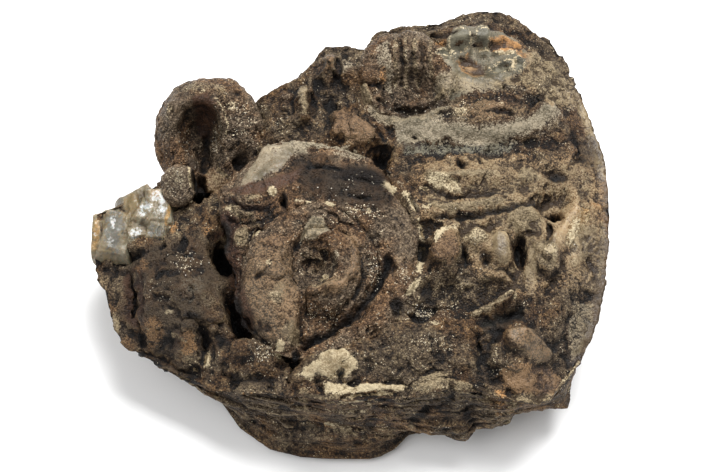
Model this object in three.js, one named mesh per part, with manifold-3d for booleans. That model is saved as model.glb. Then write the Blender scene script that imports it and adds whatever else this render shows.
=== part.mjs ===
// Ammonite fossil plate: a broken block of dark brown, layered stone, about 100 mm wide, whose upper
// face is crowded with small ammonites. Four coiled shells, a broken piece of thick shell and a patch of
// quartz crystals stand out of the stone. Each is a solid of its own, seated in a socket of the block.
//
// Frame: millimetres, +X to the right, +Y to the back, +Z up. The block lies on the plane z = 0, and the
// origin is the point of its flat bottom below the middle of the face.
import * as THREE from "three";
import Module from "manifold-3d";
import { mergeVertices } from "three/addons/utils/BufferGeometryUtils.js";

const wasm = await Module();
wasm.setup();

// ---- driving dimensions ---------------------------------------------------------------------------

const SOCKET_GAP = 0.3; // between a fossil and the stone that it sits in
const RINGS = 24; // rings of facets from either pole of the block's net to its widest ring
const RIM_RING = 20; // the ring that runs along the rim of the face
const FOOT_RING = 36; // the ring that runs along the edge of the lowest layer
const LAYER_RINGS = 3; // every third ring of the side is set back
const SHELF_HEIGHT = 8; // height of the widest of the layers under the face
const FOOT_HEIGHT = 1.6; // height of the lowest layer's edge
const RIM_BLEND = 0.2; // share of the face's radius over which it bends to the rim
const FLAT_SHARE = 0.84; // share of the foot's radius that lies flat on the ground
const FACE_ROUGHNESS = 0.9; // how far small bumps lift or lower the face
const SIDE_ROUGHNESS = 0.7; // the same for the side
const LEDGE = 1; // how far a layer of the side stands back behind its neighbours
const FACE_SPREAD = 8.5; // how far each height of FACE_HEIGHTS reaches
const COIL_NET = 0.8; // widest ring of a coil's net, as a share of the ring that runs along its edge
const CENTRE_DOME = 0.6; // roundness of a coil's middle, as a share of its swell

// Rim of the upper face, going round from the right: x, y and its height.
const RIM = [
  [49.4, 0, 22], [48.8, 12, 23], [47, 18, 24], [44.7, 24.5, 25], [41.9, 32, 26], [39.4, 37, 27],
  [36.6, 38.6, 27], [32.4, 41.4, 28], [28, 43.5, 29], [23, 42.4, 29], [17, 40.2, 29], [11, 38.9, 29.2],
  [4.4, 37.6, 29.2], [2, 34.6, 28], [-1.8, 35.8, 27], [-5.7, 35.8, 27], [-8.3, 32.2, 26], [-10.6, 28.8, 26],
  [-14.6, 27.6, 25], [-18.2, 25.8, 24], [-25, 23.5, 17], [-32, 16, 16], [-37.8, 9.2, 19], [-41.6, 6, 20],
  [-45.5, 3.2, 20], [-50, 2, 19], [-50.6, -2, 18], [-50.2, -6.5, 17.5], [-49.8, -9.4, 16], [-48, -13, 16],
  [-47.3, -16, 15], [-46.3, -19.6, 14], [-43.6, -24, 14], [-38.7, -27.2, 14], [-33, -30.6, 13.5],
  [-26.2, -33.6, 14], [-19.4, -36.1, 18], [-10, -37.8, 20], [-4.4, -39.2, 21], [8.5, -39, 21],
  [17.8, -36.5, 21], [27, -38.4, 20], [34.5, -38.6, 18], [37, -36.6, 17], [41.4, -28.8, 17],
  [44.4, -20.6, 18], [47.1, -13, 20], [48.6, -8.2, 21],
];
// Widest line of the layered side, at SHELF_HEIGHT.
const SHELF = [
  [47.5, 0], [46.5, 14], [42, 26], [36.5, 35], [26, 39.5], [14, 38], [3, 33.5], [-8, 29], [-18, 22.5],
  [-28, 16], [-37, 8], [-45.5, 1], [-46.5, -9], [-44, -19], [-38.5, -26], [-32, -30.6], [-25, -34.2],
  [-19.8, -36.4], [-10.2, -38.6], [-0.8, -39.6], [9.6, -40.4], [16.2, -41.2], [21.9, -42.2], [23.4, -39.5],
  [30.4, -38.9], [31.3, -36.4], [41.8, -35.4], [42.6, -30.4], [43.4, -24], [45.6, -13],
];
// Edge of the lowest layer, at FOOT_HEIGHT.
const FOOT = [
  [42, 0], [40, 14], [34, 26], [22, 33], [8, 32], [-6, 27], [-18, 19], [-28, 11], [-34, 2], [-35, -9],
  [-32, -19], [-27, -28], [-22, -35.5], [-16.1, -40], [-10.3, -41.6], [-0.8, -42.3], [3.1, -42.5],
  [7.8, -40], [10.5, -37], [19, -35], [30, -33], [37, -28], [40, -14],
];
// Lie of the upper face: x, y and height of the stone between its lumps and fossils.
const FACE_HEIGHTS = [
  [-42, -4, 20.5], [-34, -14, 21.5], [-39, -22, 16.5], [-27, -28, 18], [-8, -16, 24], [-22, 6, 21.5],
  [0, 8, 26], [9, -26, 25], [-8, -34, 22.5], [10, -35, 22.5], [27, -34, 20.5], [-14, 21, 24.5],
  [0, 19, 28], [9, 33, 29], [28, 37, 30], [20, 8, 29.5], [30, 20, 30.5], [42, 10, 26.5], [38, -4, 25],
  [37, -18, 23.5], [42, -25, 19.5], [22, -12, 26], [22, -24, 24.5], [-30, 14, 15],
];
// Lumps (rise above 0) and hollows (below 0) of the face: middle, half sizes, turn in degrees and rise.
const RELIEF = [
  // The crevice between the left part and the large ammonite, and the hole beside the open one.
  { at: [-25.6, -8], size: [3, 6], turn: 12, rise: -10 },
  { at: [-22.6, -19], size: [3.2, 7.5], turn: 22, rise: -8.5 },
  { at: [-29.4, 7.5], size: [2.6, 5.5], turn: -4, rise: -8 },
  // The left part: a rough plateau with pits along its edge.
  { at: [-37, -12], size: [8, 7], turn: 10, rise: 2 },
  { at: [-30, -19], size: [6, 6.5], turn: 12, rise: 2.6 },
  { at: [-39, -21], size: [5, 4], turn: -30, rise: 2.4 },
  { at: [-44.4, -9], size: [3.4, 2.6], turn: 20, rise: -3.5 },
  { at: [-43, -15], size: [2, 5], turn: 8, rise: -2.6 },
  { at: [-28.6, -25], size: [1.8, 3.4], turn: 0, rise: -2.6 },
  { at: [-33.5, -25.5], size: [4.5, 3.5], turn: -25, rise: 1.6 },
  // Lumps along the front.
  { at: [-20.5, -30], size: [6.5, 3.6], turn: -10, rise: 2.8 },
  { at: [-13, -31.5], size: [3, 3.4], turn: 0, rise: -2.2 },
  { at: [-5, -32.8], size: [5.6, 3.8], turn: 6, rise: 2 },
  { at: [8, -29.5], size: [9, 5], turn: 10, rise: 1.6 },
  // Behind the large ammonite.
  { at: [-13, 21], size: [6, 5], turn: 20, rise: 2 },
  { at: [-9.4, 25], size: [1.6, 6], turn: -6, rise: 2 },
  { at: [-5.5, 31.5], size: [3.6, 4], turn: 0, rise: 3 },
  { at: [0.4, 14.4], size: [5.4, 4.4], turn: -20, rise: 2.2 },
  { at: [5.6, 13.2], size: [2.4, 3.4], turn: -8, rise: -6 },
  { at: [-3, 23], size: [4.4, 4.4], turn: 0, rise: -1.6 },
  // The right half: banded swellings that run across, the broken chambers at the back, and nodules.
  { at: [22, 36.5], size: [12, 2.6], turn: -3, rise: 2.6 },
  { at: [24, 30], size: [7, 3.6], turn: -10, rise: -1.6 },
  { at: [24, 17.5], size: [13, 3], turn: 10, rise: 1.8 },
  { at: [39, 22], size: [5.5, 7], turn: 24, rise: 1.6 },
  { at: [24, 11], size: [15, 2.4], turn: 6, rise: -1.2 },
  { at: [22, 4.5], size: [12, 3.2], turn: 0, rise: 1.8 },
  { at: [26, -1.5], size: [13, 3], turn: 8, rise: 1.6 },
  { at: [38.5, 1], size: [4, 3], turn: 40, rise: -3.6 },
  { at: [17, -10.5], size: [3.8, 4.6], turn: 0, rise: 3.4 },
  { at: [23.6, -9], size: [2.8, 3], turn: 0, rise: 2.2 },
  { at: [28, -10], size: [2.4, 5.6], turn: 4, rise: 2.6 },
  { at: [31.6, -10], size: [2, 5.4], turn: 4, rise: -4.6 },
  { at: [36, -10], size: [3.4, 5.6], turn: -16, rise: 2 },
  { at: [14, -5.5], size: [2.4, 2], turn: 0, rise: -1.6 },
  // The shallow mould of a lost shell, and what lies before it.
  { at: [21.5, -19.5], size: [8.5, 4], turn: -4, rise: -2.4 },
  { at: [27.4, -20.6], size: [5, 1.8], turn: 28, rise: 2.8 },
  { at: [13, -22], size: [3.4, 2.6], turn: 20, rise: -2.4 },
  { at: [30.6, -28], size: [4.6, 4], turn: -10, rise: 4 },
  { at: [24.5, -29], size: [2.6, 5], turn: 10, rise: -1.8 },
  { at: [33, -33.6], size: [6, 3.4], turn: 0, rise: 1.6 },
  { at: [38.6, -22], size: [2.6, 9], turn: -20, rise: 1.8 },
];

// The coiled shells. `at` is the middle of each and `tilt` its turn about X, Y and Z in degrees. `whorls`
// lists the turns of the coil from the middle out: `edge` is a turn's outer radius at each of a few angles
// (degrees, radius), `swell` how far it arches above its seams, and `seam` the height of its outer seam.
// The middle lies at the height `middle`. `ribs` are folds that cross the last turn, `depth` is how far the
// solid reaches down into the stone, and `rows` is how many rows of facets each turn has.
const AMMONITES = {
  large_ammonite: {
    at: [-7.6, -14.4, 24],
    tilt: [5, -1, 0],
    color: "#5a4c40",
    coil: {
      rows: 5,
      middle: 2.6,
      depth: 7,
      whorls: [
        { edge: [[0, 7], [90, 6], [180, 6.6], [270, 7.4]], swell: 1.4, seam: 2.6 },
        {
          edge: [[0, 12.6], [60, 11.6], [110, 11.4], [180, 14], [235, 17], [270, 15.8], [315, 12.2]],
          swell: 2.9,
          seam: 0.8,
        },
        {
          edge: [[0, 19.4], [40, 22.6], [75, 27], [105, 28.6], [133, 27.4], [158, 19.5], [180, 16],
            [210, 15.8], [235, 17.4], [262, 17], [300, 16.6], [330, 18.2]],
          swell: 3.6,
          seam: 0,
        },
      ],
    },
  },
  open_ammonite: {
    at: [-29, 17.4, 20.6],
    tilt: [24, -6, 0],
    color: "#6a5a4a",
    coil: {
      rows: 6,
      middle: -1.5,
      depth: 4.5,
      whorls: [
        { edge: [[0, 5], [90, 5.8], [180, 6.4], [270, 5]], swell: -1.2, seam: 2 },
        {
          edge: [[0, 10.8], [50, 11.8], [90, 12.8], [135, 11.6], [180, 10.4], [270, 10]],
          swell: 3.6,
          seam: 0,
        },
      ],
    },
  },
  ribbed_ammonite: {
    at: [10.8, 24.6, 28],
    tilt: [14, -2, 0],
    color: "#4f4439",
    coil: {
      rows: 6,
      middle: -1.6,
      depth: 4.5,
      ribs: { count: 16, rise: 0.3 },
      whorls: [
        { edge: [[0, 5.4], [90, 4], [180, 5], [270, 4.4]], swell: -0.4, seam: 0.6 },
        {
          edge: [[0, 9.6], [50, 11], [90, 12.6], [130, 12.4], [180, 9], [270, 6.8]],
          swell: 2.3,
          seam: 0,
        },
      ],
    },
  },
  small_ammonite: {
    at: [-34.4, 6, 22],
    tilt: [10, 14, 0],
    color: "#463c35",
    coil: {
      rows: 3,
      middle: 1,
      depth: 4,
      whorls: [
        { edge: [[0, 1.8], [180, 1.6]], swell: 1.2, seam: 1.4 },
        { edge: [[0, 4], [90, 3.4], [180, 3.8], [270, 5]], swell: 2, seam: 0 },
      ],
    },
  },
};

// Blunt six-sided quartz crystals, grown together into one mass: foot, radius, length, lean from +Z, the way
// it leans and its turn about its own length, in degrees.
const CRYSTALS = [
  { at: [-44.6, -1.8, 12], radius: 4.8, length: 9.2, lean: 10, way: 170, turn: 8 },
  { at: [-41.6, 1.2, 13], radius: 4.4, length: 9, lean: 7, way: 100, turn: 30 },
  { at: [-37.8, 0.4, 14], radius: 4.2, length: 8.6, lean: 6, way: 40, turn: -12 },
  { at: [-40.6, -3, 13.5], radius: 4, length: 8.2, lean: 6, way: -70, turn: 18 },
  { at: [-44.4, -5.2, 12], radius: 3.4, length: 7.6, lean: 12, way: -120, turn: 0 },
  { at: [-46.6, -0.4, 11.6], radius: 3.2, length: 7.4, lean: 14, way: 180, turn: 40 },
];
const SHOULDER = 0.72; // share of a crystal's length at which its end faces start
const END_WIDTH = 0.5; // width of a crystal's blunt end, as a share of its stem's

// A thick, broken piece of shell that lies across the right of the face: a half-round bar, flat at both ends,
// between two points of its axis. `root` is how far it reaches into the stone.
const SHELL = { from: [36.8, -12.5, 22], to: [44, 0.5, 23.4], width: 4.6, rise: 2.6, root: 2 };

// ---- small helpers --------------------------------------------------------------------------------

const TURN = Math.PI * 2;
const radians = (degrees) => (degrees * Math.PI) / 180;
const mix = (a, b, t) => a + (b - a) * t;
const ease = (from, to, v) => {
  const t = Math.min(Math.max((v - from) / (to - from), 0), 1);
  return t * t * (3 - 2 * t);
};

// Where a ray from the origin at this angle crosses a closed outline: its length, and the third value there.
function crossing(outline, angle) {
  const dx = Math.cos(angle);
  const dy = Math.sin(angle);
  for (let i = 0; i < outline.length; i++) {
    const a = outline[i];
    const b = outline[(i + 1) % outline.length];
    const ex = b[0] - a[0];
    const ey = b[1] - a[1];
    const det = ex * dy - ey * dx;
    const share = (a[1] * dx - a[0] * dy) / det;
    const length = (ex * a[1] - ey * a[0]) / det;
    if (length > 0 && share >= -1e-9 && share <= 1 + 1e-9)
      return { radius: length, height: mix(a[2] ?? 0, b[2] ?? 0, share) };
  }
  throw new Error("the outline doesn't go round the origin");
}

// A repeatable rough value between -1 and 1 that changes over about one unit of x, y and z.
function roughness(x, y, z) {
  const wave = (a, b, c, d) => Math.sin(a * x + b * y + c * z + d);
  return (
    0.4 * wave(1.9, 0.7, 1.1, 0.3) +
    0.3 * wave(-1.3, 2.1, 0.9, 1.7) +
    0.3 * wave(0.8, -1.6, 2.3, 2.9)
  );
}

// A geometry's positions alone, with the vertices that its faces share merged.
function merged(geometry) {
  const bare = geometry.clone();
  bare.deleteAttribute("normal");
  bare.deleteAttribute("uv");
  return mergeVertices(bare, 1e-4);
}

// A closed solid from a three.js geometry, ready for a join or a cut.
function solidOf(geometry) {
  const { attributes, index } = merged(geometry);
  return new wasm.Manifold(
    new wasm.Mesh({
      numProp: 3,
      vertProperties: new Float32Array(attributes.position.array),
      triVerts: new Uint32Array(index.array),
    }),
  );
}

// A copy of a closed geometry, pushed out by `gap` along its normals, with the original joined to it.
function grownSolid(geometry, gap) {
  const grown = merged(geometry);
  grown.computeVertexNormals();
  const { position, normal } = grown.attributes;
  for (let i = 0; i < position.count; i++) {
    position.setX(i, position.getX(i) + gap * normal.getX(i));
    position.setY(i, position.getY(i) + gap * normal.getY(i));
    position.setZ(i, position.getZ(i) + gap * normal.getZ(i));
  }
  return solidOf(grown).add(solidOf(geometry));
}

// A cut may leave crumbs beside the solid that it was made on: only the largest body stays.
const largestBody = (solid) => solid.decompose().reduce((a, b) => (a.volume() > b.volume() ? a : b));

// The three.js geometry of a solid.
function geometryOf(solid) {
  const { vertProperties, triVerts } = solid.getMesh();
  return new THREE.BufferGeometry()
    .setAttribute("position", new THREE.BufferAttribute(vertProperties, 3))
    .setIndex(new THREE.BufferAttribute(triVerts, 1));
}

// Moves each vertex of a finely divided octahedron, which has its poles on Z, to place(angle, ring). Ring 0
// is the top pole, ring `rings` the widest one and ring 2 * rings the bottom pole. Each ring up to the widest
// has four vertices more than the one before. The result is closed, like the octahedron.
function reshapedOctahedron(rings, place) {
  const geometry = new THREE.OctahedronGeometry(1, rings - 1).rotateX(Math.PI / 2);
  const position = geometry.attributes.position;
  for (let i = 0; i < position.count; i++) {
    const sum = [0, 1, 2].reduce((all, axis) => all + Math.abs(position.getComponent(i, axis)), 0);
    const [x, y, z] = [0, 1, 2].map((axis) => position.getComponent(i, axis) / sum);
    const across = Math.abs(x) + Math.abs(y);
    const quarter = across > 1e-6 ? Math.abs(y) / across : 0;
    const half = x >= 0 ? quarter : 2 - quarter;
    const angle = ((y >= 0 ? half : 4 - half) * Math.PI) / 2;
    position.setXYZ(i, ...place(angle % TURN, Math.round(rings * (1 - z))));
  }
  return geometry;
}

// ---- the block ------------------------------------------------------------------------------------

// Height of the face between its lumps: the nearest heights of FACE_HEIGHTS count most.
function lieOfFace(x, y) {
  let sum = 0;
  let weights = 0;
  for (const [px, py, height] of FACE_HEIGHTS) {
    const weight = Math.exp(-((x - px) ** 2 + (y - py) ** 2) / (2 * FACE_SPREAD ** 2));
    sum += weight * height;
    weights += weight;
  }
  return sum / weights;
}

// What the lumps and hollows add there.
function reliefAt(x, y) {
  let rise = 0;
  for (const { at, size, turn, rise: most } of RELIEF) {
    const c = Math.cos(radians(turn));
    const s = Math.sin(radians(turn));
    const dx = x - at[0];
    const dy = y - at[1];
    const d = Math.hypot((dx * c + dy * s) / size[0], (dy * c - dx * s) / size[1]);
    rise += most * (1 - ease(0.3, 1.35, d));
  }
  return rise;
}

function facePoint(angle, share) {
  const rim = crossing(RIM, angle);
  const x = share * rim.radius * Math.cos(angle);
  const y = share * rim.radius * Math.sin(angle);
  const inner = lieOfFace(x, y) + reliefAt(x, y) + FACE_ROUGHNESS * roughness(x / 2.2, y / 2.2, 0);
  return [x, y, mix(inner, rim.height, ease(1 - RIM_BLEND, 1, share))];
}

// The side goes from the rim out or in to the shelf, and on to the foot. Here and there a ring is set back,
// which makes ledges of the stone's layers.
function wallPoint(angle, share, recessed) {
  const rim = crossing(RIM, angle);
  const shelf = crossing(SHELF, angle);
  const foot = crossing(FOOT, angle);
  const height = mix(rim.height, FOOT_HEIGHT, share);
  const above = Math.max((height - SHELF_HEIGHT) / (rim.height - SHELF_HEIGHT), 0);
  const below = Math.max((SHELF_HEIGHT - height) / (SHELF_HEIGHT - FOOT_HEIGHT), 0);
  const radius = shelf.radius + (rim.radius - shelf.radius) * above + (foot.radius - shelf.radius) * below;
  const rough = SIDE_ROUGHNESS * roughness(angle * 9, height / 3, 0);
  const inwards = share > 0 ? (recessed ? LEDGE : 0) + rough : 0;
  return [(radius - inwards) * Math.cos(angle), (radius - inwards) * Math.sin(angle), height];
}

// The bottom is flat on the ground in the middle and lifts towards the foot's edge.
function basePoint(angle, share) {
  const radius = share * crossing(FOOT, angle).radius;
  const lift = FOOT_HEIGHT * ease(FLAT_SHARE, 1, share);
  return [radius * Math.cos(angle), radius * Math.sin(angle), lift];
}

function blockGeometry() {
  return reshapedOctahedron(RINGS, (angle, ring) => {
    if (ring <= RIM_RING) return facePoint(angle, ring / RIM_RING);
    if (ring < FOOT_RING)
      return wallPoint(angle, (ring - RIM_RING) / (FOOT_RING - RIM_RING), ring % LAYER_RINGS === 0);
    return basePoint(angle, (2 * RINGS - ring) / (2 * RINGS - FOOT_RING));
  });
}

// ---- the coiled shells ----------------------------------------------------------------------------

// A turn's outer radius at an angle, eased from each listed angle to the next.
function edgeOf({ edge }, angle) {
  const degrees = (angle * 180) / Math.PI;
  const here = degrees < edge[0][0] ? degrees + 360 : degrees;
  const i = edge.findLastIndex(([from]) => here >= from);
  const [from, a] = edge[i];
  const [to, b] = i + 1 < edge.length ? edge[i + 1] : [edge[0][0] + 360, edge[0][1]];
  return mix(a, b, ease(from, to, here));
}

// A coiled shell as a closed solid about its own axis, +Z: its turns above, and a plain bowl below.
function coilGeometry({ rows, whorls, middle, depth, ribs }) {
  const last = whorls.length - 1;
  const upperPoint = (angle, row) => {
    const turn = Math.min(Math.floor(row / rows), last);
    const share = row / rows - turn;
    const inner = turn ? edgeOf(whorls[turn - 1], angle) : 0;
    const radius = mix(inner, edgeOf(whorls[turn], angle), share);
    const seam = mix(turn ? whorls[turn - 1].seam : middle, whorls[turn].seam, share);
    const dome = CENTRE_DOME * Math.sin((share * Math.PI) / 2);
    const arch = turn ? Math.sqrt(Math.max(1 - (2 * share - 1) ** 2, 0)) : dome;
    const rib = ribs && turn === last ? ribs.rise * arch * Math.cos(ribs.count * angle) : 0;
    return [radius, seam + whorls[turn].swell * arch + rib];
  };
  const underPoint = (angle, share) => {
    const fall = (share * Math.PI) / 2;
    return [edgeOf(whorls[last], angle) * Math.cos(fall), -depth * Math.sin(fall)];
  };
  const edgeRing = whorls.length * rows;
  const rings = Math.round(edgeRing * COIL_NET);
  return reshapedOctahedron(rings, (angle, ring) => {
    const [radius, height] =
      ring <= edgeRing
        ? upperPoint(angle, ring)
        : underPoint(angle, (ring - edgeRing) / (2 * rings - edgeRing));
    return [radius * Math.cos(angle), radius * Math.sin(angle), height];
  });
}

// An ammonite's geometry in its place.
function ammoniteGeometry({ at, tilt, coil }) {
  const placed = new THREE.Matrix4().makeRotationFromEuler(new THREE.Euler(...tilt.map(radians)));
  return coilGeometry(coil).applyMatrix4(placed.setPosition(...at));
}

// ---- the crystals and the piece of shell ----------------------------------------------------------

// One crystal: a six-sided stem whose end faces slope in to a small slanting flat.
function crystalSolid({ at, radius, length, lean, way, turn }, grow) {
  const stem = new THREE.CylinderGeometry(radius + grow, radius + grow, length, 6, 2);
  stem.rotateX(Math.PI / 2).rotateZ(radians(turn));
  const position = stem.attributes.position;
  for (let i = 0; i < position.count; i++) {
    const [x, y, z] = [position.getX(i), position.getY(i), position.getZ(i)];
    if (z < -0.1) position.setZ(i, -grow);
    else if (z < 0.1) position.setZ(i, SHOULDER * length + grow);
    else position.setXYZ(i, END_WIDTH * x, END_WIDTH * y, length + grow + 0.25 * x);
  }
  const axis = new THREE.Vector3(-Math.sin(radians(way)), Math.cos(radians(way)), 0);
  const placed = new THREE.Matrix4().makeRotationAxis(axis, radians(lean)).setPosition(...at);
  return solidOf(stem.applyMatrix4(placed));
}

function crystalCluster(grow) {
  return CRYSTALS.map((crystal) => crystalSolid(crystal, grow)).reduce((all, next) => all.add(next));
}

function shellSolid(grow) {
  const { from, to, width, rise, root } = SHELL;
  const outline = new THREE.Shape();
  const half = width / 2 + grow;
  outline.moveTo(half, -root - grow);
  outline.absellipse(0, 0, half, rise + grow, 0, Math.PI, false, 0);
  outline.lineTo(-half, -root - grow);
  outline.closePath();
  const start = new THREE.Vector3(...from);
  const along = new THREE.Vector3(...to).sub(start);
  const bar = new THREE.ExtrudeGeometry(outline, {
    depth: along.length() + 2 * grow,
    bevelEnabled: false,
    curveSegments: 10,
  });
  const ahead = along.clone().normalize();
  const across = new THREE.Vector3().crossVectors(new THREE.Vector3(0, 0, 1), ahead).normalize();
  const up = new THREE.Vector3().crossVectors(ahead, across);
  const placed = new THREE.Matrix4().makeBasis(across, up, ahead);
  placed.setPosition(start.addScaledVector(ahead, -grow));
  return solidOf(bar.applyMatrix4(placed));
}

// ---- assembly -------------------------------------------------------------------------------------

function namedMesh(name, geometry, color, roughness) {
  const mesh = new THREE.Mesh(geometry, new THREE.MeshStandardMaterial({ color, roughness, metalness: 0 }));
  mesh.name = name;
  return mesh;
}

const plate = new THREE.Group();
plate.name = "ammonite_fossil_plate";

// Each fossil is cut back where an earlier one stands, and the block is cut back for all of them.
const coils = Object.entries(AMMONITES).map(([name, description]) => {
  const geometry = ammoniteGeometry(description);
  return {
    name,
    color: description.color,
    roughness: 0.6,
    solid: solidOf(geometry),
    socket: grownSolid(geometry, SOCKET_GAP),
  };
});
const shell = {
  name: "shell_piece",
  color: "#a3946f",
  roughness: 0.45,
  solid: shellSolid(0),
  socket: shellSolid(SOCKET_GAP),
};
const crystals = {
  name: "quartz_crystals",
  color: "#b9b2a2",
  roughness: 0.25,
  solid: crystalCluster(0),
  socket: crystalCluster(SOCKET_GAP),
};
const inlays = [...coils, shell, crystals];
let block = solidOf(blockGeometry());
inlays.forEach(({ name, color, roughness, solid, socket }, i) => {
  const cut = inlays.slice(0, i).reduce((left, earlier) => left.subtract(earlier.socket), solid);
  plate.add(namedMesh(name, geometryOf(largestBody(cut)), color, roughness));
  block = block.subtract(socket);
});
plate.add(namedMesh("matrix", geometryOf(largestBody(block)), "#4a3f36", 0.8));

export default plate;
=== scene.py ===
"""Ammonite fossil plate: a broken block of dark layered stone, 100 mm wide, crowded with small ammonites.

The frame gives the block, four coiled shells, a broken piece of thick shell and a patch of quartz as plain
solids. Each is replaced here by a finely shaped piece in the same place. Sizes and places are in
millimetres, +Z up, and turn to metres where a mesh is made.
"""

import logging
import math
from dataclasses import dataclass
from enum import Enum
from itertools import product
from typing import Any, Iterable, Protocol, Sequence

import bpy
import numpy as np
from bpy.types import ID, Material, Mesh, Node, NodeSocket, NodeTree, Object
from mathutils import Color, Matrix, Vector


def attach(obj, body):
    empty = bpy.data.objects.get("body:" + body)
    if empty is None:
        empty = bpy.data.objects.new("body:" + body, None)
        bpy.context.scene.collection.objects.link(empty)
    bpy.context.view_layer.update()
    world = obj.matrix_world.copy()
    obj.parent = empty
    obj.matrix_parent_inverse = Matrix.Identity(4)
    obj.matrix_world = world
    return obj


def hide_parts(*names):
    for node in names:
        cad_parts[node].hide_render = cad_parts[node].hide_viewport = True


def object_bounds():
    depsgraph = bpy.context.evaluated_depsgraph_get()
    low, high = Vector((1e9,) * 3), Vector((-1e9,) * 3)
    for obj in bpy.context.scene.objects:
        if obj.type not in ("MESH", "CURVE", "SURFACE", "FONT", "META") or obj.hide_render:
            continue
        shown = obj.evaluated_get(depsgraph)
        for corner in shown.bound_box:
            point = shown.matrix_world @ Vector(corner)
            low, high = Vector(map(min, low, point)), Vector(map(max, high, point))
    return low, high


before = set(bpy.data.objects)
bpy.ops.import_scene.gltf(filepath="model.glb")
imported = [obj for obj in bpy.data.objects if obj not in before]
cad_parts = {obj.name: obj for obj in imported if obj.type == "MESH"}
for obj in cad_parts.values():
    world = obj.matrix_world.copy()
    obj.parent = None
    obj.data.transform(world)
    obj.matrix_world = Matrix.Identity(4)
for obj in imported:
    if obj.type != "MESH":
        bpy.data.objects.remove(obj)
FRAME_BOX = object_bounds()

log = logging.getLogger("fossil_plate")

MM = 0.001  # one millimetre in metres
BODY = "root"
FULL_TURN = 2.0 * math.pi
TINY = 1e-12  # keeps a division by nothing finite
FAR = 1e9  # farther than any place, in mm
Array = np.ndarray


# ---- small maths ----


def ease(low: float, high: float, value: Array) -> Array:
    """Smooth step from 0 at `low` to 1 at `high`.

    Args:
        low: the value up to which the result is 0.
        high: the value from which the result is 1.
        value: the values to judge.

    Returns:
        The eased share of each value.
    """
    share = np.clip((value - low) / (high - low), 0.0, 1.0)
    return share * share * (3.0 - 2.0 * share)


def mix(a: Any, b: Any, share: Any) -> Any:
    """The value that lies `share` of the way from a to b."""
    return a + (b - a) * share


def turned(x: Array, y: Array, degrees: float) -> tuple[Array, Array]:
    """The same offsets in axes that are turned by `degrees`."""
    c, s = math.cos(math.radians(degrees)), math.sin(math.radians(degrees))
    return x * c + y * s, y * c - x * s


def ringed(angle: Array, radius: Array, height: Array) -> Array:
    """The points at these angles about the Z axis, distances from it and heights, one row each."""
    return np.stack([radius * np.cos(angle), radius * np.sin(angle), height], axis=1)


def linear(colour: str) -> tuple[float, float, float, float]:
    """An sRGB hex colour as linear RGBA.

    Args:
        colour: six hex digits after a #.

    Returns:
        Red, green, blue and alpha for a shader's socket.
    """
    parts = [int(colour[i : i + 2], 16) / 255.0 for i in (1, 3, 5)]
    return (*Color(parts).from_srgb_to_scene_linear(), 1.0)


# ---- rough values in space ----

OCTAVE_TURN = np.array([[0.0, 0.8, 0.6], [-0.8, 0.36, -0.48], [-0.6, -0.48, 0.64]])  # hides the grid


def lattice(cells: Array, salt: int) -> Array:
    """A repeatable value from 0 to 1 for each whole-number point of space.

    Args:
        cells: whole-number points, one row each, as unsigned 32-bit numbers.
        salt: chooses one of many such fields.

    Returns:
        One value for each row.
    """
    factors = np.array([0x9E3779B1, 0x85EBCA77, 0xC2B2AE3D], dtype=np.uint32)
    mixed = np.bitwise_xor.reduce(cells * factors, axis=1) + np.uint32((salt * 0x27D4EB2F) % 2**32)
    for shift, factor in ((15, 0x2C1B3C6D), (12, 0x297A2D39)):
        mixed ^= mixed >> np.uint32(shift)
        mixed *= np.uint32(factor)
    mixed ^= mixed >> np.uint32(15)
    return mixed / 2.0**32


def whole(points: Array) -> Array:
    """Whole-number points as the unsigned numbers that `lattice` takes."""
    return points.astype(np.int64).astype(np.uint32)


def rough(points: Array, size: float, salt: int) -> Array:
    """Smooth rough values from -1 to 1.

    Args:
        points: places in space, one row each.
        size: over how many millimetres the value changes.
        salt: chooses one of many such fields.

    Returns:
        One value for each place.
    """
    grid = points / size
    low = np.floor(grid)
    blend = grid - low
    blend = blend * blend * blend * (blend * (blend * 6.0 - 15.0) + 10.0)
    total = np.zeros(len(points))
    for corner in product((0, 1), repeat=3):
        sides = np.where(np.array(corner, dtype=bool), blend, 1.0 - blend)
        total += sides.prod(axis=1) * lattice(whole(low + corner), salt)
    return 2.0 * total - 1.0


def fractal(points: Array, size: float, octaves: int, salt: int, fade: float = 0.5) -> Array:
    """Rough values of several sizes added up, from about -1 to 1.

    Args:
        points: places in space, one row each.
        size: the largest size, in millimetres.
        octaves: how many sizes, each half of the one before.
        salt: chooses one of many such fields.
        fade: strength of each size as a share of the one before.

    Returns:
        One value for each place.
    """
    total, weight, weights, here = np.zeros(len(points)), 1.0, 0.0, points
    for octave in range(octaves):
        total += weight * rough(here, size / 2**octave, salt + octave)
        weights += weight
        weight *= fade
        here = here @ OCTAVE_TURN
    return total / weights


def cells(points: Array, size: float, salt: int) -> tuple[Array, Array]:
    """Splits space into irregular cells.

    Args:
        points: places in space, one row each.
        size: mean width of a cell in millimetres.
        salt: chooses one of many such splits.

    Returns:
        How far each place is from the middle of its cell, in cell widths, and its cell's own random value.
    """
    grid = points / size
    low = np.floor(grid)
    nearest, value = np.full(len(points), FAR), np.zeros(len(points))
    for step in product((-1, 0, 1), repeat=3):
        corner = low + step
        key = whole(corner)
        middle = corner + np.stack([lattice(key, salt + axis) for axis in range(3)], axis=1)
        away = np.linalg.norm(grid - middle, axis=1)
        closer = away < nearest
        nearest = np.where(closer, away, nearest)
        value = np.where(closer, lattice(key, salt + 3), value)
    return nearest, value


# ---- relief and stains, by their place in plan ----

FOOT_REACH = 1.35  # a lump ends at this many of its half sizes
SPANS = 6  # steps between two points of a line

Point = tuple[float, float]


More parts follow.
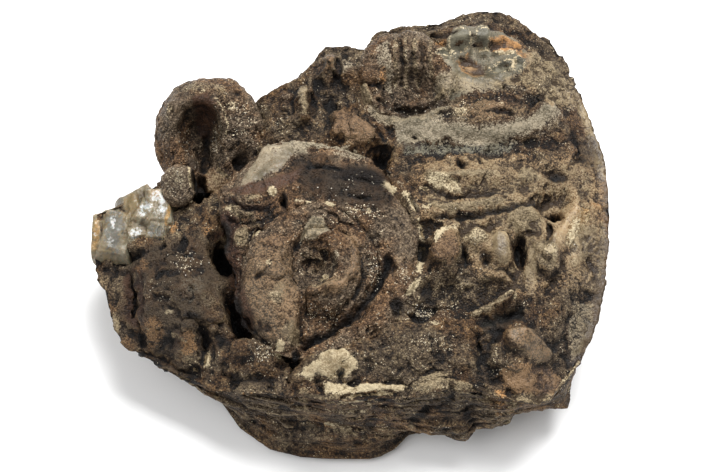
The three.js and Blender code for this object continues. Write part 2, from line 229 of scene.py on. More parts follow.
def near(x: Array, y: Array, corners: Array, margin: float) -> Array:
    """The numbers of the places that lie within `margin` of the box round some corners."""
    low, high = corners.min(axis=0) - margin, corners.max(axis=0) + margin
    return np.nonzero((x > low[0]) & (x < high[0]) & (y > low[1]) & (y < high[1]))[0]


def beside(x: Array, y: Array, start: Array, end: Array) -> tuple[Array, Array]:
    """Measures places against a straight line.

    Args:
        x, y: places in plan.
        start: one end of the line.
        end: its other end.

    Returns:
        How far each place is from the line, and at which share of it the nearest point lies.
    """
    (ax, ay), (dx, dy) = start, end - start
    share = np.clip(((x - ax) * dx + (y - ay) * dy) / (dx * dx + dy * dy + TINY), 0.0, 1.0)
    return np.hypot(x - ax - share * dx, y - ay - share * dy), share


class Shape(Protocol):
    """An area of the plan."""

    def cover(self, x: Array, y: Array) -> Array:
        """How fully it covers each place.

        Args:
            x, y: places in plan.

        Returns:
            A value from 0 to 1 for each place.
        """


@dataclass(frozen=True)
class Oval:
    """An oval that fades out towards its edge. `crown` is the share of it that is covered fully."""

    x: float
    y: float
    half_x: float
    half_y: float
    turn: float = 0.0
    crown: float = 0.3

    def cover(self, x: Array, y: Array) -> Array:
        """How fully it covers each place, as in `Shape`."""
        result = np.zeros(len(x))
        widest = FOOT_REACH * max(self.half_x, self.half_y)
        places = np.nonzero((np.abs(x - self.x) < widest) & (np.abs(y - self.y) < widest))[0]
        across, along = turned(x[places] - self.x, y[places] - self.y, self.turn)
        away = np.hypot(across / self.half_x, along / self.half_y)
        result[places] = 1.0 - ease(self.crown, FOOT_REACH, away)
        return result


@dataclass(frozen=True)
class Loop:
    """The rim of an oval."""

    x: float
    y: float
    half_x: float
    half_y: float
    turn: float
    width: float

    def cover(self, x: Array, y: Array) -> Array:
        """How fully it covers each place, as in `Shape`."""
        across, along = turned(x - self.x, y - self.y, self.turn)
        away = np.hypot(across / self.half_x, along / self.half_y) - 1.0
        return 1.0 - ease(0.0, self.width, np.abs(away) * min(self.half_x, self.half_y))


@dataclass(frozen=True)
class Stroke:
    """A smooth line.

    `reach` is how far it spreads to either side. A cliff spreads only to its left, and drops sharply on
    the line itself. `taper` is the share of its length over which either end fades out.
    """

    points: tuple[Point, ...]
    reach: float
    cliff: bool = False
    taper: float = 0.2

    def route(self) -> Array:
        """The smooth line.

        Returns:
            Its points, one row each: the given ones with steps between them, on a Catmull-Rom spline.
        """
        ends = np.array([self.points[0], *self.points, self.points[-1]], dtype=float)
        steps = np.arange(SPANS)[:, None] / SPANS
        spans = []
        for a, b, c, d in zip(ends, ends[1:], ends[2:], ends[3:]):
            bend = 2 * a - 5 * b + 4 * c - d
            twist = -a + 3 * b - 3 * c + d
            spans.append(b + 0.5 * steps * (c - a + steps * (bend + steps * twist)))
        return np.vstack([*spans, ends[-1:]])

    def cover(self, x: Array, y: Array) -> Array:
        """How fully it covers each place, as in `Shape`."""
        route = self.route()
        result = np.zeros(len(x))
        places = near(x, y, route, self.reach)
        px, py = x[places], y[places]
        away, along, side = np.full(len(px), FAR), np.zeros(len(px)), np.ones(len(px))
        for i, (start, end) in enumerate(zip(route, route[1:])):
            here, share = beside(px, py, start, end)
            (ax, ay), (dx, dy) = start, end - start
            closer = here < away
            away = np.where(closer, here, away)
            along = np.where(closer, (i + share) / (len(route) - 1), along)
            side = np.where(closer, np.sign(dx * (py - ay) - dy * (px - ax)), side)
        shape = 1.0 - ease(0.0, self.reach, away)
        if self.cliff:
            shape *= side > 0
        if self.taper > 0:
            shape *= ease(0.0, self.taper, along) * ease(0.0, self.taper, 1.0 - along)
        result[places] = shape
        return result


@dataclass(frozen=True)
class Area:
    """An area with a straight-edged outline. Its edge is `soft` mm wide."""

    points: tuple[Point, ...]
    soft: float = 0.6

    def cover(self, x: Array, y: Array) -> Array:
        """How fully it covers each place, as in `Shape`."""
        corners = np.array(self.points)
        result = np.zeros(len(x))
        places = near(x, y, corners, self.soft)
        px, py = x[places], y[places]
        away, inside = np.full(len(px), FAR), np.zeros(len(px), dtype=bool)
        for start, end in zip(corners, np.roll(corners, -1, axis=0)):
            away = np.minimum(away, beside(px, py, start, end)[0])
            (ax, ay), (dx, dy) = start, end - start
            crossed = (ay > py) != (end[1] > py)
            inside ^= crossed & (px < ax + (py - ay) * dx / (dy + TINY))
        result[places] = ease(-self.soft, self.soft, np.where(inside, away, -away))
        return result


@dataclass(frozen=True)
class Ripples:
    """Fine ridges that run round a centre, `pitch` apart, inside an oval."""

    centre: Point
    pitch: float
    window: Oval

    def cover(self, x: Array, y: Array) -> Array:
        """How high the ridges stand at each place, from -1 to 1."""
        away = np.hypot(x - self.centre[0], y - self.centre[1])
        return np.cos(FULL_TURN * away / self.pitch) * self.window.cover(x, y)


class Stain(Enum):
    """What the surface is tinted with, or how it behaves, beside plain stone."""

    RUST = "rust"
    OCHRE = "ochre"
    TAN = "tan"
    PINK = "pink"
    GREY = "grey"
    SLATE = "slate"
    CREAM = "cream"
    # the stone's own dark patches and seams, and painted shade at the bottoms of crevices, holes, grooves and
    # pits
    DARK = "dark"
    SMOOTH = "smooth"
    # where it glitters: crystals are strewn there, and the finish paints bright glint flecks
    GLINT = "glint"


SMOOTH_STAINS = {Stain.GREY: 0.5, Stain.SLATE: 0.5, Stain.CREAM: 0.6, Stain.PINK: 0.1}
DOMED_STAINS = (Stain.GREY, Stain.SLATE)  # chalcedony, in small round domes with paler rims


@dataclass(frozen=True)
class Mark:
    """One feature: where it lies, how far it rises there in mm and how strongly stains tint it."""

    shape: Shape
    rise: float
    tints: dict[Stain, float]


def mark(shape: Shape, rise: float = 0.0, **tints: float) -> Mark:
    """A feature whose stains are given by their names."""
    return Mark(shape, rise, {Stain(name): strength for name, strength in tints.items()})


def spot(
    x: float, y: float, half_x: float, half_y: float, rise: float = 0.0, *,
    turn: float = 0.0, crown: float = 0.3, **tints: float,
) -> Mark:
    """A feature in an oval."""
    return mark(Oval(x, y, half_x, half_y, turn, crown), rise, **tints)


def line(
    reach: float, rise: float, *points: Point, cliff: bool = False, taper: float = 0.2, **tints: float
) -> Mark:
    """A feature along a smooth line."""
    return mark(Stroke(points, reach, cliff, taper), rise, **tints)


def patch(rise: float, *points: Point, soft: float = 0.6, **tints: float) -> Mark:
    """A feature inside an outline."""
    return mark(Area(points, soft), rise, **tints)


def relief(marks: Iterable[Mark], x: Array, y: Array) -> Array:
    """Adds up what marks raise.

    Args:
        marks: the features.
        x, y: places in plan.

    Returns:
        How far they raise each place, in mm.
    """
    total = np.zeros(len(x))
    for one in marks:
        if one.rise:
            total += one.rise * one.shape.cover(x, y)
    return total


def tinted(marks: Iterable[Mark], x: Array, y: Array) -> dict[Stain, Array]:
    """How strongly each place carries each stain, from 0 to 1.

    Args:
        marks: what tints the surface.
        x, y: places in plan.

    Returns:
        The strengths at each place, stain by stain.
    """
    values = {kind: np.zeros(len(x)) for kind in Stain}
    for one in marks:
        if one.tints:
            cover = one.shape.cover(x, y)
            for kind, strength in one.tints.items():
                values[kind] += strength * cover
    for kind, share in SMOOTH_STAINS.items():
        values[Stain.SMOOTH] = np.maximum(values[Stain.SMOOTH], share * values[kind])
    return {kind: np.clip(value, 0.0, 1.0) for kind, value in values.items()}


# ---- closed surfaces ----


@dataclass
class Surface:
    """A closed mesh of triangles, as plain arrays in millimetres."""

    points: Array
    faces: Array

    def normals(self) -> Array:
        """Works out which way the surface faces.

        Returns:
            The unit normal of each point, pointing outwards.
        """
        a, b, c = (self.points[self.faces[:, i]] for i in range(3))
        across = np.cross(b - a, c - a)
        total = np.zeros_like(self.points)
        for corner, axis in product(range(3), range(3)):
            total[:, axis] += np.bincount(self.faces[:, corner], across[:, axis], len(self.points))
        return total / np.maximum(np.linalg.norm(total, axis=1, keepdims=True), TINY)

    def push(self, amount: Array) -> None:
        """Moves each point out along its normal by its own amount."""
        self.points = self.points + self.normals() * amount[:, None]

    def edges(self) -> Array:
        """Each edge once, as a pair of point numbers."""
        pairs = np.vstack([self.faces[:, [0, 1]], self.faces[:, [1, 2]], self.faces[:, [2, 0]]])
        return np.unique(np.sort(pairs, axis=1), axis=0)

    def hollowness(self, rounds: int) -> Array:
        """How far each point lies below the smoothed surface.

        Args:
            rounds: how many times the surface is smoothed, which sets how wide a hollow counts.

        Returns:
            Millimetres, above 0 in pits and below 0 on ridges.
        """
        a, b = self.edges().T
        count = len(self.points)
        share = 1.0 / np.maximum(np.bincount(a, minlength=count) + np.bincount(b, minlength=count), 1)
        smoothed = self.points.copy()
        for _ in range(rounds):
            for axis in range(3):
                values = smoothed[:, axis]
                total = np.bincount(a, values[b], count) + np.bincount(b, values[a], count)
                smoothed[:, axis] = total * share
        return np.einsum("ij,ij->i", smoothed - self.points, self.normals())

    def mesh(self, name: str) -> Mesh:
        """Hands the surface to Blender.

        Args:
            name: the mesh's name.

        Returns:
            A mesh in metres, smoothly shaded.
        """
        made = bpy.data.meshes.new(name)
        made.vertices.add(len(self.points))
        made.vertices.foreach_set("co", (self.points * MM).ravel())
        made.loops.add(self.faces.size)
        made.loops.foreach_set("vertex_index", self.faces.ravel())
        made.polygons.add(len(self.faces))
        made.polygons.foreach_set("loop_start", np.arange(0, self.faces.size, 3))
        made.update(calc_edges=True)
        made.validate()
        made.shade_smooth()
        return made

    def thinned(self, triangles: int) -> "Surface":
        """Takes away triangles where the surface hardly bends.

        Args:
            triangles: about how many are left.

        Returns:
            The thinner surface.
        """
        carrier = shown("thinned", self.mesh("thinned"))
        modifier = carrier.modifiers.new("fewer", "DECIMATE")
        modifier.ratio = min(triangles / len(self.faces), 1.0)
        thin = Surface.read(evaluated_mesh(carrier))
        bpy.data.objects.remove(carrier)
        return thin

    @classmethod
    def read(cls, mesh: Mesh) -> "Surface":
        """Takes over a Blender mesh, which is then removed.

        Args:
            mesh: the mesh, in metres.

        Returns:
            Its points and triangles in millimetres.
        """
        points = np.zeros(len(mesh.vertices) * 3)
        mesh.vertices.foreach_get("co", points)
        mesh.calc_loop_triangles()
        faces = np.zeros(len(mesh.loop_triangles) * 3, dtype=np.int64)
        mesh.loop_triangles.foreach_get("vertices", faces)
        bpy.data.meshes.remove(mesh)
        return cls(points.reshape(-1, 3) / MM, faces.reshape(-1, 3))


def shown(name: str, data: ID) -> Object:
    """Puts a mesh, light or camera in the scene.

    Args:
        name: the new object's name.
        data: what it shows.

    Returns:
        The object.
    """
    made = bpy.data.objects.new(name, data)
    bpy.context.collection.objects.link(made)
    return made


def evaluated_mesh(carrier: Object) -> Mesh:
    """A plain mesh of what an object's modifiers make of it."""
    graph = bpy.context.evaluated_depsgraph_get()
    return bpy.data.meshes.new_from_object(carrier.evaluated_get(graph))


@dataclass(frozen=True)
class Drum:
    """The net of a closed drum: a top disc, a side and a bottom disc, in rings round the axis.

    Ring k of a disc has 4k points, so its triangles have about one size. The side has `rows` rows.
    """

    rings: int
    rows: int

    def disc(self) -> tuple[Array, Array, Array]:
        """Lays out one disc.

        Returns:
            Each point's angle, its share of the radius, and the disc's faces, seen from above.
        """
        counts = np.maximum(4 * np.arange(self.rings + 1), 1)
        starts = np.concatenate([[0], np.cumsum(counts)])
        ring = np.repeat(np.arange(self.rings + 1), counts)
        angle = FULL_TURN * (np.arange(len(ring)) - starts[ring]) / counts[ring]
        faces = []
        for k, quarter in product(range(self.rings), range(4)):
            inner = starts[k] + (quarter * k + np.arange(k + 1)) % counts[k]
            outer = starts[k + 1] + (quarter * (k + 1) + np.arange(k + 2)) % counts[k + 1]
            faces.append(np.stack([inner, outer[:-1], outer[1:]], axis=1))
            faces.append(np.stack([inner[:-1], outer[1:-1], inner[1:]], axis=1))
        return angle, ring / self.rings, np.vstack(faces)

    def shaped(self, top: "Place", side: "Place", bottom: "Place") -> Surface:
        """Places the net in space.

        Args:
            top: gives x, y and z for angles and shares of the top disc's radius.
            side: the same for the side, whose share is 0 along the top and 1 along the bottom.
            bottom: the same for the bottom disc.

        Returns:
            The closed surface.
        """
        angle, share, faces = self.disc()
        round_count = 4 * self.rings
        round_angle = FULL_TURN * np.arange(round_count) / round_count
        side_share = np.repeat(np.arange(1, self.rows) / self.rows, round_count)
        edge = side(np.tile(round_angle, self.rows - 1), side_share)
        points = np.vstack([top(angle, share), edge, bottom(angle, share)])
        disc_count = len(angle)
        below = disc_count + len(side_share)
        upper = disc_count - round_count + round_count * np.arange(self.rows + 1)
        upper[-1] = below + disc_count - round_count
        here = np.arange(round_count)
        after = (here + 1) % round_count
        sides = []
        for a, b in zip(upper, upper[1:]):
            sides.append(np.stack([a + here, b + here, b + after], axis=1))
            sides.append(np.stack([a + here, b + after, a + after], axis=1))
        return Surface(points, np.vstack([faces, *sides, faces[:, ::-1] + below]))


class Place(Protocol):
    """Gives the place in space of points of a net."""

    def __call__(self, angle: Array, share: Array) -> Array:
        """Places points.

        Args:
            angle: their angles about the drum's axis in radians.
            share: their shares of the way, from the middle of a disc out or down its side.

        Returns:
            x, y and z, one row for each.
        """


@dataclass(frozen=True)
class Outline:
    """A closed outline round the Z axis, each point with x, y and, where it has one, a height."""

    points: tuple[tuple[float, ...], ...]
    softness: float = 0.6  # degrees over which its corners are rounded

    SAMPLES = 2880
    PARALLEL = 1e-9  # below this a ray and a side run the same way

    def reach(self, angle: Array) -> tuple[Array, Array]:
        """How far from the axis the outline lies at each angle, and how high.

        Args:
            angle: angles about the Z axis in radians.

        Returns:
            The radius and the height at each angle.
        """
        rays = FULL_TURN * np.arange(self.SAMPLES) / self.SAMPLES
        dx, dy = np.cos(rays), np.sin(rays)
        radius, height = np.zeros(self.SAMPLES), np.zeros(self.SAMPLES)
        for a, b in zip(self.points, self.points[1:] + self.points[:1]):
            ex, ey = b[0] - a[0], b[1] - a[1]
            determinant = ex * dy - ey * dx
            determinant = np.where(np.abs(determinant) < self.PARALLEL, self.PARALLEL, determinant)
            share = (a[1] * dx - a[0] * dy) / determinant
            length = (ex * a[1] - ey * a[0]) / determinant
            hit = (length > 0) & (share >= -self.PARALLEL) & (share <= 1 + self.PARALLEL)
            radius = np.where(hit, length, radius)
            if len(a) > 2:
                height = np.where(hit, mix(a[2], b[2], share), height)
        width = max(int(self.softness / 360.0 * self.SAMPLES), 1)
        window = np.hanning(2 * width + 1)
        window /= window.sum()
        around = np.mod(angle, FULL_TURN)
        grid = FULL_TURN * np.arange(self.SAMPLES + 1) / self.SAMPLES
        result = []
        for values in (radius, height):
            padded = np.concatenate([values[-width:], values, values[:width]])
            soft = np.convolve(padded, window, mode="valid")
            result.append(np.interp(around, grid, np.append(soft, soft[0])))
        return result[0], result[1]


# ---- finishes ----


def add(
    tree: NodeTree, kind: str, inputs: dict[Any, Any] | None = None, **settings: Any
) -> Node:
    """Adds a node.

    Args:
        tree: the node tree that it goes in.
        kind: the node's type name.
        inputs: for each input, by name or number, a socket to link or a value to set.
        settings: the node's own properties.

    Returns:
        The new node.
    """
    node = tree.nodes.new(kind)
    for name, value in settings.items():
        setattr(node, name, value)
    for key, value in (inputs or {}).items():
        if isinstance(value, NodeSocket):
            tree.links.new(value, node.inputs[key])
        else:
            node.inputs[key].default_value = value
    return node


def per_metre(size: float) -> float:
    """The texture scale at which a pattern repeats about every `size` millimetres."""
    return 1.0 / (size * MM)


@dataclass(frozen=True)
class Cloud:
    """A cloudy pattern: over how many millimetres it changes, and how ragged it is."""

    size: float
    detail: float
    roughness: float


@dataclass(frozen=True)
class StoneFinish:
    """Gritty stone with countless specks of crystal: limestone, fossil shell and milky quartz alike.

    The eye sees sugary grains from nearly black to tan, which carry on through every stain.
    """

    name: str
    shades: tuple[str, ...]  # colours of the grains, from dark to light, at the lightness of STOPS
    grain: float = 0.34  # width of a grain in mm, a little coarser than the real grit so that it shows
    relief: float = 0.27  # how far the grains stand out, in mm
    contrast: float = 0.82  # how far the grains differ
    roughness: float = 0.72
    transmission: float = 0.0
    glow: float = 0.0  # how much light spreads under the surface
    gloss: float = 0.25  # strength of its mirror reflection
    warm: str = "#ffe4c8"  # what its browner patches are filtered with
    glint_fleck: str = "#c9bca1"  # its brightest grains: pale crystal grains, painted brighter to stand for glints of light
    tints: tuple[tuple[Stain, str, str], ...] = (
        (Stain.GREY, "#4f4838", "#9d907a"),
        (Stain.SLATE, "#37342a", "#686353"),
        (Stain.RUST, "#180a05", "#4c3424"),
        (Stain.OCHRE, "#35261a", "#a97e50"),
        (Stain.TAN, "#362a1c", "#8f7f63"),
        (Stain.PINK, "#332318", "#7c6349"),
        (Stain.CREAM, "#766549", "#b9aa8b"),
        # the darkest stone, and the painted shade of crevices and pits
        (Stain.DARK, "#020101", "#1b130d"),
    )

    STOPS = (0.0, 0.25, 0.45, 0.62, 0.8, 1.0)
    PATCHES, WARMTH, BLOTCHES = Cloud(7.0, 3.0, 0.6), Cloud(9.0, 4.0, 0.65), Cloud(1.9, 4.0, 0.68)
    GRIT, LAYERS = Cloud(0.5, 3.0, 0.7), Cloud(0.9, 3.0, 0.6)
    FINER = 0.5  # width of the fine grains, as a share of the coarse ones
    APART = (1, 2, 3)  # keeps the warm patches from falling together with the light ones
    FLAT = (0.13, 0.13, 1.0)  # draws the layers out level
    MEAN = 0.5  # the middle value of a cloud
    CALM, LAYERED_CALM = -0.75, -0.35  # how much of its contrast smooth and layered stone loses
    EVEN = 0.45  # tone of stone without grains
    GRAIN_LEVEL = -0.62  # brings the mean of the grains to about 0
    BLOTCH, PATCH, LAYER, HOLLOW = 0.6, 0.35, 1.5, -0.75  # how much each changes the tone; the last is painted shade, darker in pits and crevices
    WARM_PATCH = (0.42, 0.62)  # from where to where a patch turns warm
    RAGGED = 0.9  # how far grains and blotches fray the edge of a stain
    CLOUDING = 1.6  # how cloudy smooth stone is
    DOME_RIM = 1.2  # how much paler the seams between domes are
    CRISP_EDGE, FRAYED_EDGE = (0.65, 1.0), (0.4, 1.3)  # from where to where a stain covers the stone
    FIRST_TRACE = (0.02, 0.3)  # the strengths of a stain between which it comes in
    TINT_RANGE = (0.12, 0.8)  # the tones that take a stain's dark and light colours
    FLECK_FROM, FLECK_WIDTH = 0.99, 0.03  # which grains are flecks, and how sharply they are told apart
    DEPTH_OF_GLOW = 1.2  # in mm
    INDEX = 1.52  # of refraction

    def material(self) -> Material:
        """Makes the finish.

        Returns:
            A Blender material, which reads the stains from attributes of the mesh.
        """
        made = bpy.data.materials.new(self.name)
        made.use_nodes = True
        tree = made.node_tree
        tree.nodes.clear()
        place = add(tree, "ShaderNodeTexCoord").outputs["Object"]

        def mapped(change: str, amount: tuple[float, float, float]) -> NodeSocket:
            """The place, moved or scaled."""
            return add(tree, "ShaderNodeMapping", {"Vector": place, change: amount}).outputs[0]

        def noise(cloud: Cloud, where: Any = place) -> NodeSocket:
            """The values of a cloudy pattern."""
            inputs = {"Scale": per_metre(cloud.size), "Detail": cloud.detail, "Roughness": cloud.roughness}
            return add(tree, "ShaderNodeTexNoise", {"Vector": where, **inputs}).outputs["Fac"]

        def grains(size: float) -> tuple[NodeSocket, NodeSocket]:
            """Irregular grains: each one's own random value, and how far a place is from its middle."""
            cell = add(tree, "ShaderNodeTexVoronoi", {"Vector": place, "Scale": per_metre(size)}).outputs
            own = add(tree, "ShaderNodeSeparateColor", {"Color": cell["Color"]})
            return own.outputs["Red"], cell["Distance"]

        def sums(a: Any, b: Any, operation: str = "ADD", c: Any = 0.0) -> NodeSocket:
            """Two or three values taken together."""
            return add(tree, "ShaderNodeMath", {0: a, 1: b, 2: c}, operation=operation).outputs[0]

        def total(base: Any, *parts: tuple[Any, Any]) -> NodeSocket:
            """The base with each value added, times its weight."""
            for value, weight in parts:
                base = sums(value, weight, "MULTIPLY_ADD", base)
            return base

        def share(value: Any, low: Any, high: Any) -> NodeSocket:
            """0 at `low` and 1 at `high`, eased between them."""
            inputs = {"Value": value, "From Min": low, "From Max": high}
            return add(tree, "ShaderNodeMapRange", inputs, interpolation_type="SMOOTHSTEP").outputs["Result"]

        def blended(factor: Any, a: Any, b: Any, how: str = "MIX") -> NodeSocket:
            """Blends two colours.

            Args:
                factor: how much of the second is taken.
                a: the first, a socket or a hex colour.
                b: the second.
                how: the kind of blend.

            Returns:
                The blended colour.
            """
            node = add(tree, "ShaderNodeMix", {"Factor": factor}, data_type="RGBA", blend_type=how)
            for socket, value in ((node.inputs[6], a), (node.inputs[7], b)):
                if isinstance(value, str):
                    socket.default_value = linear(value)
                else:
                    tree.links.new(value, socket)
            return node.outputs[2]

        def stain(kind: Stain | str) -> NodeSocket:
            """How strongly the surface carries a stain, from its attribute."""
            name = kind.value if isinstance(kind, Stain) else kind
            return add(tree, "ShaderNodeAttribute", attribute_name=name).outputs["Fac"]

        def varied(cloud: Any) -> NodeSocket:
            """A cloud's values with their mean taken off."""
            return sums(cloud, self.MEAN, "SUBTRACT")

        patches, blotches, grit = noise(self.PATCHES), noise(self.BLOTCHES), noise(self.GRIT)
        warmth = noise(self.WARMTH, mapped("Location", self.APART))
        (coarse, coarse_seam), (fine, fine_seam) = grains(self.grain), grains(self.grain * self.FINER)
        layers = varied(noise(self.LAYERS, mapped("Scale", self.FLAT)))

        smooth, layered, hollow = stain(Stain.SMOOTH), stain("layers"), stain("hollow")
        contrast = self.contrast
        calm = total(contrast, (smooth, self.CALM * contrast), (layered, self.LAYERED_CALM * contrast))
        grain = total(0.0, (coarse, 0.4), (fine, 0.3), (grit, 1.0), (coarse_seam, -0.5))
        grain = sums(grain, self.GRAIN_LEVEL)
        tone = total(
            self.EVEN,
            (grain, calm),
            (varied(blotches), self.BLOTCH),
            (varied(patches), self.PATCH),
            (sums(layers, layered, "MULTIPLY"), self.LAYER),
            # painted shade: darker in pits and crevices, a little lighter on ridges
            (hollow, self.HOLLOW),
        )

        ramp = add(tree, "ShaderNodeValToRGB", {"Fac": tone})
        elements = ramp.color_ramp.elements
        elements[0].color, elements[1].color = linear(self.shades[0]), linear(self.shades[-1])
        for at, shade in zip(self.STOPS[1:-1], self.shades[1:-1]):
            elements.new(at).color = linear(shade)
        colour = blended(share(warmth, *self.WARM_PATCH), ramp.outputs["Color"], self.warm, "MULTIPLY")
        edge = total(0.0, (blotches, self.RAGGED), (grain, self.RAGGED))
        clouded = total(tone, (varied(warmth), sums(smooth, self.CLOUDING, "MULTIPLY")))
        rimmed = total(clouded, (hollow, self.DOME_RIM))
        for kind, dark, light in self.tints:
            amount = stain(kind)
            limits = self.CRISP_EDGE if kind in SMOOTH_STAINS else self.FRAYED_EDGE
            cover = sums(share(sums(amount, edge), *limits), share(amount, *self.FIRST_TRACE), "MULTIPLY")
            own = rimmed if kind in DOMED_STAINS else clouded
            colour = blended(cover, colour, blended(share(own, *self.TINT_RANGE), dark, light))
        # bright flecks: pale crystal grains, painted whiter to stand for glints of light, most where the
        # surface glitters
        rarity = total(self.FLECK_FROM, (smooth, 0.15), (stain(Stain.DARK), 0.2), (stain(Stain.GLINT), -0.12))
        chance = sums(fine, total(-0.15, (blotches, 0.3)))
        glint_flecks = share(chance, rarity, sums(rarity, self.FLECK_WIDTH))

        height = total(0.0, (coarse_seam, -1.0), (fine_seam, -0.3), (grit, 1.2), (blotches, 2.6))
        strength = total(1.0, (smooth, self.CALM))
        bump = {"Height": height, "Strength": strength, "Distance": self.relief * MM}
        inputs = {
            "Base Color": blended(glint_flecks, colour, self.glint_fleck),
            "Roughness": total(self.roughness, (fine, -0.25), (smooth, -0.22), (glint_flecks, -0.3)),
            "Normal": add(tree, "ShaderNodeBump", bump).outputs["Normal"],
            "IOR": self.INDEX,
            "Specular IOR Level": self.gloss,
            "Transmission Weight": self.transmission,
            "Subsurface Weight": self.glow,
            "Subsurface Scale": self.DEPTH_OF_GLOW * MM,
        }
        shader = add(tree, "ShaderNodeBsdfPrincipled", inputs)
        add(tree, "ShaderNodeOutputMaterial", {"Surface": shader.outputs["BSDF"]})
        return made


class Stone(Enum):
    """The kinds of stone, each with its own finish."""

    MATRIX = StoneFinish(
        "dark_limestone_matrix", ("#0a0604", "#261c12", "#44382a", "#5b4d3b", "#796a51", "#a39475")
    )
    SHELL = StoneFinish(
        "fossil_shell_brown", ("#0b0705", "#2a2016", "#4b3e2f", "#655646", "#84745e", "#aa987d")
    )
    THICK_SHELL = StoneFinish(
        "thick_pale_shell",
        ("#2b2113", "#5c4f36", "#837253", "#9c8c6e", "#b3a78a", "#cabfa3"),
        contrast=0.8,
        roughness=0.6,
    )
    QUARTZ = StoneFinish(
        "milky_vein_quartz",
        ("#3b3326", "#574f3f", "#6c6452", "#7c7462", "#918a78", "#a59f8f"),
        grain=0.9,
        relief=0.1,
        contrast=0.3,
        roughness=0.56,
        transmission=0.05,
        glow=0.12,
        gloss=0.3,
        warm="#fff4e2",
        glint_fleck="#cac7bc",
        tints=(
            (Stain.OCHRE, "#523915", "#a2814e"),
            (Stain.TAN, "#423520", "#7b6b4c"),
            (Stain.GREY, "#4c4942", "#6d6a61"),
            (Stain.CREAM, "#878987", "#bcbcb9"),
            (Stain.DARK, "#060502", "#2c2115"),
        ),
    )


@dataclass(frozen=True)
class DruseFinish:
    """Colourless quartz in crystals as fine as sugar, which the eye sees as bright points."""

    name: str = "quartz_druse"
    dark: tuple[float, str] = (0.35, "#5c503f")  # lightness and colour of the dullest crystals
    light: tuple[float, str] = (0.62, "#cfc6b4")
    size: float = 0.8  # over how many mm they differ
    relief: float = 0.05
    sharpest: float = 0.12  # roughness
    dullest: float = 0.4
    index: float = 1.54
    transmission: float = 0.2

    def material(self) -> Material:
        """Makes the finish.

        Returns:
            A Blender material.
        """
        made = bpy.data.materials.new(self.name)
        made.use_nodes = True
        tree = made.node_tree
        tree.nodes.clear()
        place = add(tree, "ShaderNodeTexCoord").outputs["Object"]
        inputs = {"Vector": place, "Scale": per_metre(self.size), "Detail": 1.0}
        noise = add(tree, "ShaderNodeTexNoise", inputs).outputs["Fac"]
        ramp = add(tree, "ShaderNodeValToRGB", {"Fac": noise})
        for element, (at, colour) in zip(ramp.color_ramp.elements, (self.dark, self.light)):
            element.position, element.color = at, linear(colour)
        bump = add(tree, "ShaderNodeBump", {"Height": noise, "Distance": self.relief * MM})
        limits = {"Value": noise, "To Min": self.sharpest, "To Max": self.dullest}
        inputs = {
            "Base Color": ramp.outputs["Color"],
            "Normal": bump.outputs["Normal"],
            "Roughness": add(tree, "ShaderNodeMapRange", limits).outputs["Result"],
            "IOR": self.index,
            "Transmission Weight": self.transmission,
        }
        shader = add(tree, "ShaderNodeBsdfPrincipled", inputs)
        add(tree, "ShaderNodeOutputMaterial", {"Surface": shader.outputs["BSDF"]})
        return made


# ---- pieces ----

FACE_LEVEL = 6.0  # the height in mm above which the face's stains show fully
FACE_FADE = 2.0  # how far below it they fade out
BOX_MARGIN = 0.3  # how far every piece stays inside the frame's box, in mm
WANDER, WANDER_SIZE = 0.6, 3.0  # how far the edge of a stain strays, and over what length, in mm
LEVEL_GROUND, STEEPEST = 0.6, 0.3  # how far up a normal points where layers end, and where they show fully
HOLLOWS = ((4, 1.2), (24, 0.45), (120, 0.18))  # rounds of smoothing, and how much such a hollow counts; the finish paints shade into hollows
HOLLOW_RANGE = (-0.12, 1.0)


def dressed(
    name: str,
    surface: Surface,
    marks: Sequence[Mark],
    finish: Material,
    node: str = "",
    layers: float = 0.0,
) -> Object:
    """Makes a piece of the scene from a surface.

    Args:
        name: the piece's name.
        surface: its shape.
        marks: what tints it, by place in plan.
        finish: its material.
        node: the node of the frame that it stands for, if it stands for one.
        layers: how strongly its steep sides show layers.

    Returns:
        The finished object.
    """
    low, high = (np.array(corner) / MM for corner in FRAME_BOX)
    surface.points = np.clip(surface.points, low + [BOX_MARGIN, BOX_MARGIN, 0.0], high - BOX_MARGIN)
    mesh = surface.mesh(name)
    x, y, z = surface.points.T
    wander = [WANDER * fractal(surface.points, WANDER_SIZE, 3, 900 + i) for i in range(2)]
    steep = 1.0 - ease(STEEPEST, LEVEL_GROUND, surface.normals()[:, 2])
    face = ease(FACE_LEVEL - FACE_FADE, FACE_LEVEL, z) * (1.0 - layers * steep)
    for kind, strength in tinted(marks, x + wander[0], y + wander[1]).items():
        store(mesh, kind.value, strength * face)
    # how deep each point lies in a hollow: the finish paints shade there, and pales the seams between
    # chalcedony domes
    hollow = sum(surface.hollowness(rounds) * weight for rounds, weight in HOLLOWS)
    store(mesh, "hollow", np.clip(hollow, *HOLLOW_RANGE))
    store(mesh, "layers", layers * steep)
    mesh.materials.append(finish)
    piece = shown(name, mesh)
    settled(piece, node)
    return piece


def settled(piece: Object, node: str = "") -> None:
    """Joins a piece to the block's body.

    Args:
        piece: the finished object.
        node: the node of the frame that it stands for, if it stands for one.
    """
    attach(piece, BODY)
    if node:
        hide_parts(node)
    log.info("%s: %d triangles", piece.name, len(piece.data.polygons))


def store(mesh: Mesh, name: str, values: Array) -> None:
    """Keeps one value for each point of a mesh as an attribute."""
    mesh.attributes.new(name, "FLOAT", "POINT").data.foreach_set("value", values.astype(np.float32))


UPRIGHT = (-0.2, 0.5)  # how far up a normal points from where relief shows, and where it does fully


